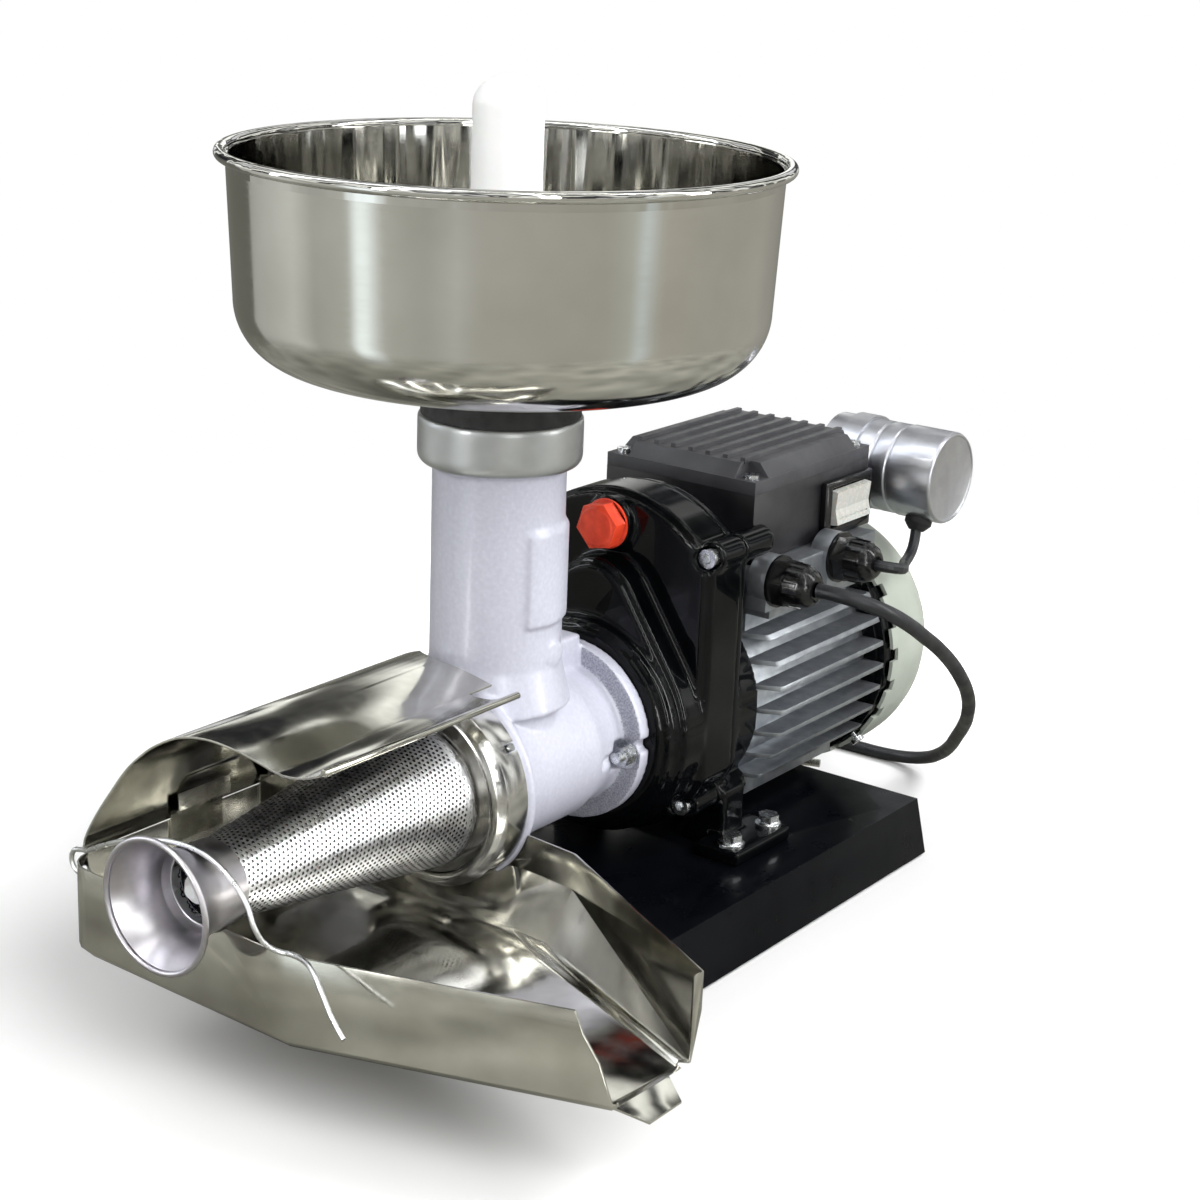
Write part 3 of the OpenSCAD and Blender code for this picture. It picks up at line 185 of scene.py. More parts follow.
marks = add(
    tree, "ShaderNodeTexNoise", {"Vector": upright, "Scale": 2.9, "Detail": 1.0, "Distortion": 0.4}
).outputs["Fac"]
clutter = tones(
    tree, marks, (0.34, "#1c1d1f"), (0.41, "#4c4c49"), (0.46, "#d5d6d2"), (0.53, "#b4b5b1"), (0.58, "#3a3b3d"),
    (0.64, "#1a1b1d"), (0.68, "#a6a7a9"),
)  # fmt: skip
glow = add(tree, "ShaderNodeVectorMath", {0: strips, "Scale": 9.0}, operation="SCALE").outputs[0]
bright_room = add(tree, "ShaderNodeVectorMath", {0: clutter, 1: glow}, operation="ADD").outputs[0]
height = add(tree, "ShaderNodeSeparateXYZ", {"Vector": direction}).outputs["Z"]
ceiling = add(tree, "ShaderNodeMapRange", {"Value": height, "From Min": -0.12, "From Max": 0.06}).outputs["Result"]
low = add(tree, "ShaderNodeBackground", {"Color": panels, "Strength": 2.0}).outputs[0]
high = add(tree, "ShaderNodeBackground", {"Color": bright_room, "Strength": 2.4}).outputs[0]
shine = add(tree, "ShaderNodeMixShader", {0: ceiling, 1: low, 2: high}).outputs[0]
soft = add(tree, "ShaderNodeBackground", {"Color": srgb("#ffffff"), "Strength": 0.36}).outputs[0]
white = add(tree, "ShaderNodeBackground", {"Color": srgb("#ffffff"), "Strength": 1.0}).outputs[0]
lit = add(tree, "ShaderNodeMixShader", {0: world_rays.outputs["Is Glossy Ray"], 1: soft, 2: shine}).outputs[0]
around = add(tree, "ShaderNodeMixShader", {0: world_rays.outputs["Is Camera Ray"], 1: lit, 2: white}).outputs[0]
add(tree, "ShaderNodeOutputWorld", {"Surface": around})

target = Vector((0.0, 0.0, 0.15))
for name, place, size, watts in (
    ("lamp_left", (-1.2, -1.3, 1.4), 1.4, 20.0),
    ("lamp_right", (1.5, -0.7, 1.2), 1.2, 32.0),
    ("lamp_top", (1.1, 0.8, 1.4), 0.8, 29.0),
):
    lamp_data = bpy.data.lights.new(name, "AREA")
    lamp_data.size = size
    lamp_data.energy = watts
    lamp = bpy.data.objects.new(name, lamp_data)
    lamp.location = place
    lamp.visible_glossy = False
    lamp.rotation_euler = (target - Vector(place)).to_track_quat("-Z", "Y").to_euler()
    bpy.context.scene.collection.objects.link(lamp)


# ---- Base and its feet.
# Folded black sheet with a semi-gloss powder coat, with a highlight painted in bright metal along its edges, on four
# moulded rubber feet; zinc flange bolts hold the cast feet of the gear cover to it.
def at(x, y, z):
    """Metres in the shared frame, from millimetres off the chimney's axis and the screw's axis."""
    return Vector((x - 33.65, y - 52.75, z + 108.0)) / 1000


def surface(name, colour, rough, metal=0.0, **uniform):
    """A new material with its colour and roughness; gives it, its node tree and the Object coordinates."""
    made = bpy.data.materials.new(name)
    made.use_nodes = True
    tree = made.node_tree
    shader = tree.nodes["Principled BSDF"]
    shader.inputs["Base Color"].default_value = srgb(colour)
    shader.inputs["Roughness"].default_value = rough
    shader.inputs["Metallic"].default_value = metal
    for socket, value in uniform.items():
        shader.inputs[socket.replace("_", " ")].default_value = value
    return made, tree, add(tree, "ShaderNodeTexCoord").outputs["Object"]


def noise(tree, coords, mm, detail=3.0, stretch=(1.0, 1.0, 1.0)):
    """Noise with marks about mm millimetres across, longer along an axis whose stretch is below 1."""
    place = add(tree, "ShaderNodeMapping", {"Vector": coords, "Scale": stretch}).outputs["Vector"]
    return add(tree, "ShaderNodeTexNoise", {"Vector": place, "Scale": 1000.0 / mm, "Detail": detail}).outputs["Fac"]


def spread(tree, grain, least, most):
    """Noise, which lies mostly between 0.3 and 0.7, brought to between least and most."""
    span = {"Value": grain, "From Min": 0.3, "From Max": 0.7, "To Min": least, "To Max": most}
    return add(tree, "ShaderNodeMapRange", span).outputs["Result"]


def rise(tree, height, mm, below=None):
    """A bump of mm millimetres from a height of 0 to 1, on top of an earlier bump."""
    links = {"Height": height, "Distance": mm / 1000, "Strength": 1.0}
    if below is not None:
        links["Normal"] = below
    return add(tree, "ShaderNodeBump", links).outputs["Normal"]


def finish_with(tree, colour=None, rough=None, normal=None):
    """Links the colour, roughness and bump that nodes have made to the tree's shader."""
    shader = tree.nodes["Principled BSDF"]
    for socket, value in (("Base Color", colour), ("Roughness", rough), ("Normal", normal)):
        if value is not None:
            tree.links.new(value, shader.inputs[socket])


def dress(material, slot, *names):
    """Gives carried-over pieces their material."""
    for name in names:
        piece = nodes[name]
        piece.data.materials.clear()
        piece.data.materials.append(material)


def settled(piece):
    """Turns a piece's modifiers into plain mesh."""
    data = bpy.data.meshes.new_from_object(piece.evaluated_get(bpy.context.evaluated_depsgraph_get()))
    piece.modifiers.clear()
    piece.data = data
    return piece


def finished(piece, material, body, slot, *replaced):
    """Shades a new piece, gives it its material and puts it in the place of the carried-over nodes."""
    piece.data.polygons.foreach_set("use_smooth", [True] * len(piece.data.polygons))
    piece.data.set_sharp_from_angle(angle=math.radians(38.0))
    piece.data.materials.clear()
    piece.data.materials.append(material)
    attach(piece, body)
    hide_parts(*replaced)
    return piece


def piece_from(shape, name):
    """A new object from a bmesh, which is freed."""
    data = bpy.data.meshes.new(name)
    shape.to_mesh(data)
    shape.free()
    piece = bpy.data.objects.new(name, data)
    bpy.context.scene.collection.objects.link(piece)
    return piece


def welded_copy(name, node):
    """A copy of a carried-over node with its loose triangles joined and its flat faces whole."""
    shape = bmesh.new()
    shape.from_mesh(nodes[node].data)
    bmesh.ops.remove_doubles(shape, verts=shape.verts, dist=1e-6)
    bmesh.ops.dissolve_limit(shape, angle_limit=math.radians(1.0), verts=shape.verts, edges=shape.edges)
    return piece_from(shape, name)


def eased(name, node, edge_mm, material, slot, rounds=2):
    """A copy of a carried-over node with its edges eased, as moulding, rolling or deburring leaves them."""
    piece = welded_copy(name, node)
    edge = piece.modifiers.new("edges", "BEVEL")
    edge.width = edge_mm / 1000
    edge.segments = rounds
    edge.limit_method = "ANGLE"
    edge.angle_limit = math.radians(32.0)
    edge.harden_normals = False
    return finished(settled(piece), material, nodes[node]["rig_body"], slot, node)


base_black, tree, coords = surface(
    "base_black_powder_coat", "#07080b", 0.28, Specular_IOR_Level=0.05, Coat_Weight=0.1, Coat_Roughness=0.05
)
peel = rise(tree, noise(tree, coords, 1.1, 1.0), 0.012)
finish_with(
    tree,
    colour=tones(tree, noise(tree, coords, 45.0, 4.0), (0.35, "#040508"), (0.7, "#08090d")),
    rough=spread(tree, noise(tree, coords, 22.0, 5.0), 0.24, 0.42),
    normal=rise(tree, noise(tree, coords, 70.0, 1.0), 0.25, peel),
)
base = eased("base_sheet", "base_tray", 0.8, base_black, "black_paint", 3)
# bright metal on the rounded edges: a painted highlight along them
edge_highlight, tree, coords = surface("base_edges_painted_highlight", "#b4b7bb", 0.3, 0.9)
finish_with(
    tree,
    colour=tones(tree, noise(tree, coords, 12.0, 4.0), (0.35, "#8a8d91"), (0.65, "#c9ccd0")),
    rough=spread(tree, noise(tree, coords, 5.0, 3.0), 0.22, 0.4),
)
base.data.materials.append(edge_highlight)
# the rounded edges, not the flat faces on either side of them, get the bright metal of the painted highlight
for polygon in base.data.polygons:
    along_x, along_y, up = (abs(part) for part in polygon.normal)
    polygon.material_index = int(0.3 < up < 0.95 or (up <= 0.3 and min(along_x, along_y) > 0.25))
rubber, tree, coords = surface("rubber_black_moulded", "#141415", 0.62)
finish_with(
    tree,
    colour=tones(tree, noise(tree, coords, 14.0, 4.0), (0.35, "#0f0f10"), (0.7, "#1d1d1f")),
    rough=spread(tree, noise(tree, coords, 5.0, 4.0), 0.5, 0.72),
    normal=rise(tree, noise(tree, coords, 0.45, 3.0), 0.05),
)
dress(rubber, "rubber", "base_feet")
zinc, tree, coords = surface("zinc_plated_steel", "#d3d5d8", 0.26, 1.0)
finish_with(
    tree,
    colour=tones(tree, noise(tree, coords, 4.0, 2.0), (0.3, "#cdcfd3"), (0.55, "#dadce0"), (0.75, "#e2e2df")),
    rough=spread(tree, noise(tree, coords, 2.5, 2.0), 0.2, 0.32),
    normal=rise(tree, noise(tree, coords, 0.9, 1.0), 0.008),
)
dress(zinc, "zinc", "foot_bolts")


# ---- Gear case and its cover.
# Iron castings under thick gloss black enamel, which leaves soft waves and a light orange peel. Zinc screws hold the
# two together, and the end shield at the rear of the motor has the same enamel.
def casting(name, node, grid_mm, passes, material, slot):
    """A cast piece with rounded corners and fillets, grown from the closed shape of one carried-over node."""
    piece = welded_copy(name, node)
    skin = piece.modifiers.new("skin", "REMESH")
    skin.mode = "VOXEL"
    skin.voxel_size = grid_mm / 1000
    fillets = piece.modifiers.new("fillets", "SMOOTH")
    fillets.factor = 0.5
    fillets.iterations = passes
    return finished(settled(piece), material, nodes[node]["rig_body"], slot, node)


enamel, tree, coords = surface(
    "gear_case_gloss_black_enamel", "#030406", 0.3, Specular_IOR_Level=0.04, Coat_Weight=0.32, Coat_Roughness=0.02
)
cast = rise(tree, noise(tree, coords, 10.0, 2.0), 0.10)
finish_with(
    tree,
    colour=tones(tree, noise(tree, coords, 20.0, 3.0), (0.35, "#020304"), (0.7, "#07080a")),
    rough=spread(tree, noise(tree, coords, 12.0, 4.0), 0.12, 0.26),
    normal=rise(tree, noise(tree, coords, 1.6, 1.0), 0.012, cast),
)
case = casting("gear_case_casting", "gear_case", 1.25, 6, enamel, "gloss_black")
# the front of the case is flat on both sides of its middle: what stands proud of it there goes back to the face
face_y, flat_x, flat_z = 94.0, (18.5, 42.0), (80.0, 107.0)
for vertex in case.data.vertices:
    x, y, z = vertex.co * 1000 - at(0, 0, 0) * 1000
    if flat_x[0] < abs(x) < flat_x[1] and flat_z[0] < z < flat_z[1] and y < face_y:
        vertex.co = at(x, face_y, z)
casting("gear_cover_casting", "gear_cover", 1.35, 4, enamel, "gloss_black")
eased("end_shield_casting", "end_shield", 0.5, enamel, "gloss_black")
dress(zinc, "zinc", "case_screws")


# ---- Oil plug.
# Orange moulded nylon, slightly waxy, screwed into the front of the gear case; its hexagon has light scuffs from
# spanners.
orange, tree, coords = surface(
    "oil_plug_orange_nylon", "#cc3a1c", 0.3, Subsurface_Weight=0.08, Subsurface_Scale=0.002
)
finish_with(
    tree,
    colour=tones(tree, noise(tree, coords, 6.0, 4.0), (0.3, "#bd3118"), (0.7, "#dc4526")),
    rough=spread(tree, noise(tree, coords, 2.0, 4.0), 0.3, 0.5),
    normal=rise(tree, noise(tree, coords, 0.4, 3.0), 0.02),
)
eased("oil_plug_moulding", "oil_plug", 0.5, orange, "orange")


# ---- Shafts and gears.
# Ground shafts and ball races, and cut gears with a thin oil film, all inside the case; a seal of brown rubber
# closes it round the output shaft.
bright, tree, coords = surface("ground_bearing_steel", "#c3c5c8", 0.2, 1.0)
finish_with(
    tree,
    colour=tones(tree, noise(tree, coords, 8.0, 3.0), (0.35, "#b4b6b9"), (0.7, "#cdcfd2")),
    rough=spread(tree, noise(tree, coords, 0.8, 3.0, (1, 12, 1)), 0.14, 0.3),
    normal=rise(tree, noise(tree, coords, 0.6, 2.0, (1, 12, 1)), 0.01),
)
dress(bright, "bright_steel", "output_bearings", "output_shaft", "countershaft", "countershaft_bearings")
gear_steel, tree, coords = surface(
    "cut_gear_steel_oiled", "#8f9194", 0.28, 1.0, Coat_Weight=0.3, Coat_Roughness=0.08
)
finish_with(
    tree,
    colour=tones(tree, noise(tree, coords, 5.0, 4.0), (0.3, "#7d7c78"), (0.7, "#a1a3a6")),
    rough=spread(tree, noise(tree, coords, 2.5, 4.0), 0.2, 0.4),
    normal=rise(tree, noise(tree, coords, 0.5, 2.0, (6, 1, 1)), 0.02),
)
dress(gear_steel, "bright_steel", "output_gear", "countershaft_pinion", "countershaft_gear", "motor_pinion")
seal, tree, coords = surface("shaft_seal_brown_rubber", "#5b2419", 0.5)
finish_with(tree, normal=rise(tree, noise(tree, coords, 0.6, 3.0), 0.04))
dress(seal, "rubber", "shaft_seal")


# ---- Motor.
# Finned aluminium frame with a light silver lacquer over its cast skin. Inside it, cores of laminated steel with
# windings of enamelled copper wire, and a ground shaft in ball bearings.
aluminium, tree, coords = surface("motor_frame_cast_aluminium", "#9da1a7", 0.28, 0.85)
skin = rise(tree, noise(tree, coords, 4.0, 2.0), 0.06)
finish_with(
    tree,
    colour=tones(tree, noise(tree, coords, 9.0, 5.0), (0.3, "#8d9197"), (0.55, "#9da1a7"), (0.75, "#aeb1b6")),
    rough=spread(tree, noise(tree, coords, 4.0, 4.0), 0.28, 0.5),
    normal=rise(tree, noise(tree, coords, 0.5, 3.0), 0.03, skin),
)
eased("motor_frame_casting", "motor_frame", 0.5, aluminium, "aluminium")
dress(bright, "bright_steel", "motor_shaft", "motor_bearings")
core, tree, coords = surface("laminated_core_steel", "#5e6064", 0.45, 1.0)
sheets = add(tree, "ShaderNodeTexWave", {"Vector": coords, "Scale": 314.0, "Distortion": 0.0}, bands_direction="Y")
finish_with(
    tree,
    colour=tones(tree, noise(tree, coords, 6.0, 4.0), (0.3, "#4d4e51"), (0.7, "#6d6f73")),
    rough=spread(tree, noise(tree, coords, 2.0, 3.0), 0.38, 0.55),
    normal=rise(tree, sheets.outputs["Fac"], 0.08),
)
dress(core, "core", "rotor_core", "stator_core")
copper, tree, coords = surface(
    "enamelled_copper_wire", "#b5622a", 0.3, 1.0, Coat_Weight=0.6, Coat_Roughness=0.1
)
strands = add(tree, "ShaderNodeTexWave", {"Vector": coords, "Scale": 370.0, "Distortion": 1.5}, bands_direction="Z")
finish_with(
    tree,
    colour=tones(tree, noise(tree, coords, 4.0, 4.0), (0.3, "#8f4519"), (0.7, "#c97537")),
    normal=rise(tree, strands.outputs["Fac"], 0.3),
)
dress(copper, "copper", "stator_windings")


# ---- Fan and its cover.
# Pressed steel under grey-green paint, with a row of windows round its front rim and held by screws through it;
# the fan under it is moulded in black nylon.
cover_paint, tree, coords = surface(
    "fan_cover_grey_green_paint", "#a2a89e", 0.34, Coat_Weight=0.15, Coat_Roughness=0.2
)
finish_with(
    tree,
    colour=tones(tree, noise(tree, coords, 30.0, 4.0), (0.35, "#9aa096"), (0.7, "#a9afa5")),
    rough=spread(tree, noise(tree, coords, 10.0, 4.0), 0.28, 0.45),
    normal=rise(tree, noise(tree, coords, 1.2, 2.0), 0.04),
)
window_count, first_window = 24, 3.0
window_y, window_r, window_x = (267.0, 273.5), (66.0, 78.0), (-3.6, 3.6)
vents = bmesh.new()
for k in range(window_count):
    turn = math.radians(360 / window_count * k + first_window)
    spots = []
    for y in window_y:
        for r in window_r:
            for side in window_x:
                x, z = r * math.cos(turn) - side * math.sin(turn), r * math.sin(turn) + side * math.cos(turn)
                spots.append(vents.verts.new(at(x, y, z)))
    a, b, c, d, e, f, g, h = spots
    for face in ((a, b, d, c), (e, g, h, f), (a, e, f, b), (c, d, h, g), (a, c, g, e), (b, f, h, d)):
        vents.faces.new(face)
bmesh.ops.recalc_face_normals(vents, faces=vents.faces)
cutter = piece_from(vents, "fan_cover_windows")
fan_cover = welded_copy("fan_cover_pressing", "fan_cover")
windows = fan_cover.modifiers.new("windows", "BOOLEAN")
windows.operation = "DIFFERENCE"
windows.object = cutter
windows.solver = "EXACT"
settled(fan_cover)
bpy.data.objects.remove(cutter)
finished(fan_cover, cover_paint, "machine", "cover_paint", "fan_cover")
dress(zinc, "zinc", "fan_cover_screws")
fan_black, tree, coords = surface("fan_black_nylon", "#1b1b1d", 0.5)
finish_with(tree, normal=rise(tree, noise(tree, coords, 0.5, 3.0), 0.03))
dress(fan_black, "black_plastic", "cooling_fan")


# ---- Terminal box and its lid.
# Moulded in black glass-filled nylon with a fine spark texture, on top of the motor, its lid held by screws; the
# terminal block in it is phenolic board with brass studs.
box_black, tree, coords = surface("terminal_box_black_nylon", "#19181b", 0.4)
finish_with(
    tree,
    colour=tones(tree, noise(tree, coords, 16.0, 4.0), (0.35, "#111013"), (0.7, "#1a191c")),
    rough=spread(tree, noise(tree, coords, 7.0, 4.0), 0.32, 0.5),
    normal=rise(tree, noise(tree, coords, 0.5, 2.0), 0.05),
)
eased("terminal_box_moulding", "terminal_box", 0.7, box_black, "black_plastic", 3)
lid_black, tree, coords = surface("terminal_lid_black_nylon", "#3b3b3e", 0.5)
finish_with(
    tree,
    colour=tones(tree, noise(tree, coords, 20.0, 3.0), (0.35, "#313134"), (0.7, "#3e3e41")),
    rough=spread(tree, noise(tree, coords, 6.0, 3.0), 0.42, 0.56),
    normal=rise(tree, noise(tree, coords, 0.8, 2.0), 0.04),
)
eased("terminal_lid_moulding", "terminal_lid", 0.8, lid_black, "black_plastic", 3)
dress(zinc, "zinc", "lid_screws")
board, tree, coords = surface("terminal_block_phenolic", "#7a5a38", 0.45)
finish_with(
    tree,
    colour=tones(tree, noise(tree, coords, 1.0, 4.0), (0.3, "#6b4c2d"), (0.7, "#8a6844")),
    normal=rise(tree, noise(tree, coords, 0.4, 3.0), 0.03),
)
dress(board, "board", "terminal_block")
brass, tree, coords = surface("terminal_studs_brass", "#c99b45", 0.25, 1.0)
finish_with(tree, rough=spread(tree, noise(tree, coords, 1.2, 4.0), 0.18, 0.36))
dress(brass, "brass", "terminal_studs")


# ---- Switch and cable glands.
# Glossy black nylon: the bezel snaps into the side of the box, and the glands grip the supply cord and the
# capacitor's lead. The rocker is milky white and slightly see-through.
gland_black, tree, coords = surface("cable_gland_glossy_black_nylon", "#09090b", 0.16)
finish_with(
    tree,
    rough=spread(tree, noise(tree, coords, 3.0, 3.0), 0.12, 0.26),
    normal=rise(tree, noise(tree, coords, 2.0, 2.0), 0.03),
)
eased("switch_bezel", "switch_frame", 0.6, gland_black, "black_plastic")
eased("lead_gland_moulding", "lead_gland", 0.4, gland_black, "black_plastic")
eased("supply_gland_moulding", "supply_gland", 0.4, gland_black, "black_plastic")
milky, tree, coords = surface(
    "switch_rocker_milky_white", "#b4b4ae", 0.2, Subsurface_Weight=0.2, Subsurface_Scale=0.003
)
finish_with(
    tree,
    rough=spread(tree, noise(tree, coords, 3.0, 3.0), 0.16, 0.34),
    normal=rise(tree, noise(tree, coords, 0.8, 2.0), 0.02),
)
dress(milky, "rocker", "switch_rocker")


# ---- Capacitor.
# Drawn aluminium can, satin from drawing along its axis, held by a bent strap clamp; a rubber boot covers its
# terminals.
can_metal, tree, coords = surface("capacitor_drawn_aluminium", "#c6c7ce", 0.26, 1.0)
drawn = noise(tree, coords, 1.2, 2.0, (0.05, 1, 1))
finish_with(
    tree,
    colour=tones(tree, noise(tree, coords, 12.0, 4.0), (0.35, "#bebfc7"), (0.7, "#cfd0d6")),
    rough=spread(tree, drawn, 0.28, 0.42),
    normal=rise(tree, drawn, 0.004),
)
eased("capacitor_can_drawn", "capacitor_can", 0.3, can_metal, "aluminium")
dress(can_metal, "aluminium", "capacitor_clamp")
dress(rubber, "rubber", "capacitor_boot")


# ---- Power cord and capacitor lead.
# Black PVC sheath, 7.8 mm and 6 mm. The power cord falls from its gland behind the machine, and its spare length
# lies in a coil of about three and a half turns on the floor, tied in white nylon, with the plug beside it.
def cable(name, points, diameter, material):
    """A round cable whose centre line runs smoothly through the points."""
    data = bpy.data.curves.new(name, "CURVE")
    data.dimensions = "3D"
    data.bevel_depth = diameter / 2
    data.bevel_resolution = 5
    data.resolution_u = 5
    data.use_fill_caps = True
    line = data.splines.new("BEZIER")
    line.bezier_points.add(len(points) - 1)
    for knot, point in zip(line.bezier_points, points):
        knot.co = point
        knot.handle_left_type = knot.handle_right_type = "AUTO"
    data.materials.append(material)
    made = bpy.data.objects.new(name, data)
    bpy.context.scene.collection.objects.link(made)
    return made


cord_d = 7.8
floor_level = -108.0
coil_x, coil_y, coil_step = -76.0, 322.0, 20
cord_black, tree, coords = surface("cord_sheath_black_pvc", "#17181b", 0.42)
finish_with(
    tree,
    colour=tones(tree, noise(tree, coords, 30.0), (0.35, "#131417"), (0.7, "#1f2024")),
    rough=spread(tree, noise(tree, coords, 9.0), 0.36, 0.55),
    normal=rise(tree, noise(tree, coords, 0.7, 4.0), 0.03),
)
free_run = [
    (86.5, 156, 71), (99.5, 158, 70.2), (110.3, 164, 67.2), (117.6, 173.5, 62), (121, 186.5, 54.6),
    (121.8, 209, 41), (120.5, 236, 24), (118, 262, 4), (112.5, 285, -16), (105, 301, -32), (95, 317, -46),
    (83, 333, -60.5), (70, 351, -75), (56, 366, -87.5), (42, 376, -96.5), (26, 380, -101.6),
    (10, 380.5, -103.5), (-9, 380.3, -103.8), (-30, 379, -103.8), (-54, 371.4, -103.8),
]  # fmt: skip
# turns as (angle, radius, height of the centre line): outer low, inner low, inner high, outer high
turns = [(90, 50.5, 4.2), (125, 47.9, 4.2), (370, 47.9, 4.2), (440, 40.1, 4.2), (690, 40.1, 4.2)]
turns += [(740, 40.1, 12.0), (1010, 40.1, 12.0), (1060, 47.9, 12.0), (1370, 47.9, 12.0)]
coil_run = []
for (a0, r0, h0), (a1, r1, h1) in zip(turns, turns[1:]):
    steps = max(1, round((a1 - a0) / coil_step))
    for k in range(steps):
        s = k / steps
        ease = s * s * (3 - 2 * s)
        a = math.radians(a0 + (a1 - a0) * s)
        r = r0 + (r1 - r0) * ease
        coil_run.append((coil_x + r * math.cos(a), coil_y + r * math.sin(a), floor_level + h0 + (h1 - h0) * ease))
tail = [(-59.6, 277.0, floor_level + 12.3), (-46.0, 281.9, floor_level + 16.5)]
power_cord = cable("power_cord_run", [at(*p) for p in free_run + coil_run + tail], cord_d / 1000, cord_black)
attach(power_cord, "machine")
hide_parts("power_cord", "cord_coil")
dress(cord_black, "cord", "capacitor_lead")
dress(cord_black, "black_plastic", "mains_plug")
pin_steel, tree, coords = surface("plug_pins_nickel_plate", "#c9c8c2", 0.22, 1.0)
finish_with(tree, rough=spread(tree, noise(tree, coords, 1.5, 4.0, (1, 1, 6)), 0.16, 0.34))
dress(pin_steel, "bright_steel", "plug_pins")
tie_white, tree, coords = surface("coil_tie_white_nylon", "#e6e6e2", 0.5)
finish_with(tree, normal=rise(tree, noise(tree, coords, 0.8, 3.0), 0.05))
dress(tie_white, "white_plastic", "coil_tie")


# ---- Strainer body.
# One casting with thick silver paint over a sand-cast skin, held to the gear case by its flange nuts; the ring at
# the chimney's top is machined and the face of the flange is blasted.
silver, tree, coords = surface(
    "strainer_body_silver_paint", "#bfc0cd", 0.42, 0.12, Coat_Weight=0.3, Coat_Roughness=0.15
)
flow = rise(tree, noise(tree, coords, 16.0, 1.0), 0.16)
grit = rise(tree, noise(tree, coords, 1.6, 3.0), 0.06, flow)
finish_with(
    tree,
    colour=tones(tree, noise(tree, coords, 2.0, 4.0), (0.3, "#b9bac7"), (0.55, "#bfc0cd"), (0.75, "#c6c7d3")),
    rough=spread(tree, noise(tree, coords, 1.0, 3.0), 0.3, 0.5),
    normal=rise(tree, noise(tree, coords, 0.35, 2.0), 0.03, grit),
)
body = casting("strainer_body_casting", "strainer_body", 1.25, 6, silver, "silver_paint")
bare_ring, tree, coords = surface("chimney_ring_machined", "#b4b6b7", 0.36, 0.8)
turned_lines = noise(tree, coords, 1.0, 2.0, (0.04, 0.04, 1.0))
finish_with(
    tree,
    colour=tones(tree, noise(tree, coords, 25.0, 3.0), (0.35, "#aaacad"), (0.7, "#bcbebf")),
    rough=spread(tree, turned_lines, 0.33, 0.42),
    normal=rise(tree, turned_lines, 0.001),
)
blasted, tree, coords = surface("flange_face_blasted", "#a3a4b0", 0.6, 0.4)
finish_with(
    tree,
    colour=tones(tree, noise(tree, coords, 1.0, 4.0), (0.35, "#8b8c98"), (0.65, "#b4b5c0")),
    normal=rise(tree, noise(tree, coords, 0.9, 3.0), 0.12),
)
body.data.materials.append(bare_ring)
body.data.materials.append(blasted)
# the body's second material is for the turned ring, its third for the flange's front, within 1.2 mm of its plane
ring_foot, flange_y, near_it = at(0, 0, 153.0).z, at(0, 59.6, 0).y, 0.0012
for polygon in body.data.polygons:
    if polygon.center.z > ring_foot:
        polygon.material_index = 1
    elif polygon.normal.y < -0.8 and abs(polygon.center.y - flange_y) < near_it:
        polygon.material_index = 2
dress(zinc, "zinc", "flange_nuts")
dress(bright, "bright_steel", "mouth_pins")


# ---- Hopper bowl and its collar.
# Spun stainless steel with a rolled rim, polished outside with faint rings from spinning, and to a mirror inside.
# It stands on the chimney in a black rubber collar.
polished, tree, coords = surface("hopper_polished_stainless", "#c9c8c3", 0.12, 1.0)
rings = noise(tree, coords, 1.2, 3.0, (0.05, 0.05, 1.0))
wavy = rise(tree, noise(tree, coords, 20.0, 0.0, (1.0, 1.0, 0.12)), 0.22)
finish_with(
    tree,
    colour=tones(tree, noise(tree, coords, 60.0, 3.0), (0.35, "#bfbeb8"), (0.7, "#cdccc8")),
    rough=spread(tree, rings, 0.08, 0.15),
    normal=rise(tree, rings, 0.001, wavy),
)
mirror, tree, coords = surface("hopper_inside_mirror_polish", "#c6c5c0", 0.05, 1.0)
streaks = rise(tree, noise(tree, coords, 13.0, 1.0, (1.0, 1.0, 0.06)), 0.6)
finish_with(
    tree,
    colour=tones(tree, noise(tree, coords, 50.0, 3.0), (0.35, "#bab9b4"), (0.7, "#cfcecb")),
    rough=spread(tree, noise(tree, coords, 8.0), 0.03, 0.09),
    normal=rise(tree, noise(tree, coords, 1.0, 1.0, (0.05, 0.05, 1.0)), 0.001, streaks),
)


def turned(name, place, *profiles, steps=160):
    """A piece turned from closed profiles of (radius, height), each put in place at an angle by place."""
    shape = bmesh.new()
    for profile in profiles:
        rings = []
        for r, h in profile:
            rings.append([shape.verts.new(place(r, h, math.tau * k / steps)) for k in range(steps)])
        for near, far_ring in zip(rings, rings[1:] + rings[:1]):
            for k in range(steps):
                q = (k + 1) % steps
                shape.faces.new((near[k], near[q], far_ring[q], far_ring[k]))
    bmesh.ops.remove_doubles(shape, verts=shape.verts, dist=1e-7)
    bmesh.ops.recalc_face_normals(shape, faces=shape.faces)
    return piece_from(shape, name)


def upright_turn(r, h, a):
    """Round the chimney's axis."""
    return at(r * math.cos(a), r * math.sin(a), h)


def arc(r, x, h, start, end, n):
    """Points on an arc of radius r about (x, h), from one angle in degrees to another."""
    angles = [math.radians(start + (end - start) * k / n) for k in range(n + 1)]
    return [(x + r * math.cos(a), h + r * math.sin(a)) for a in angles]


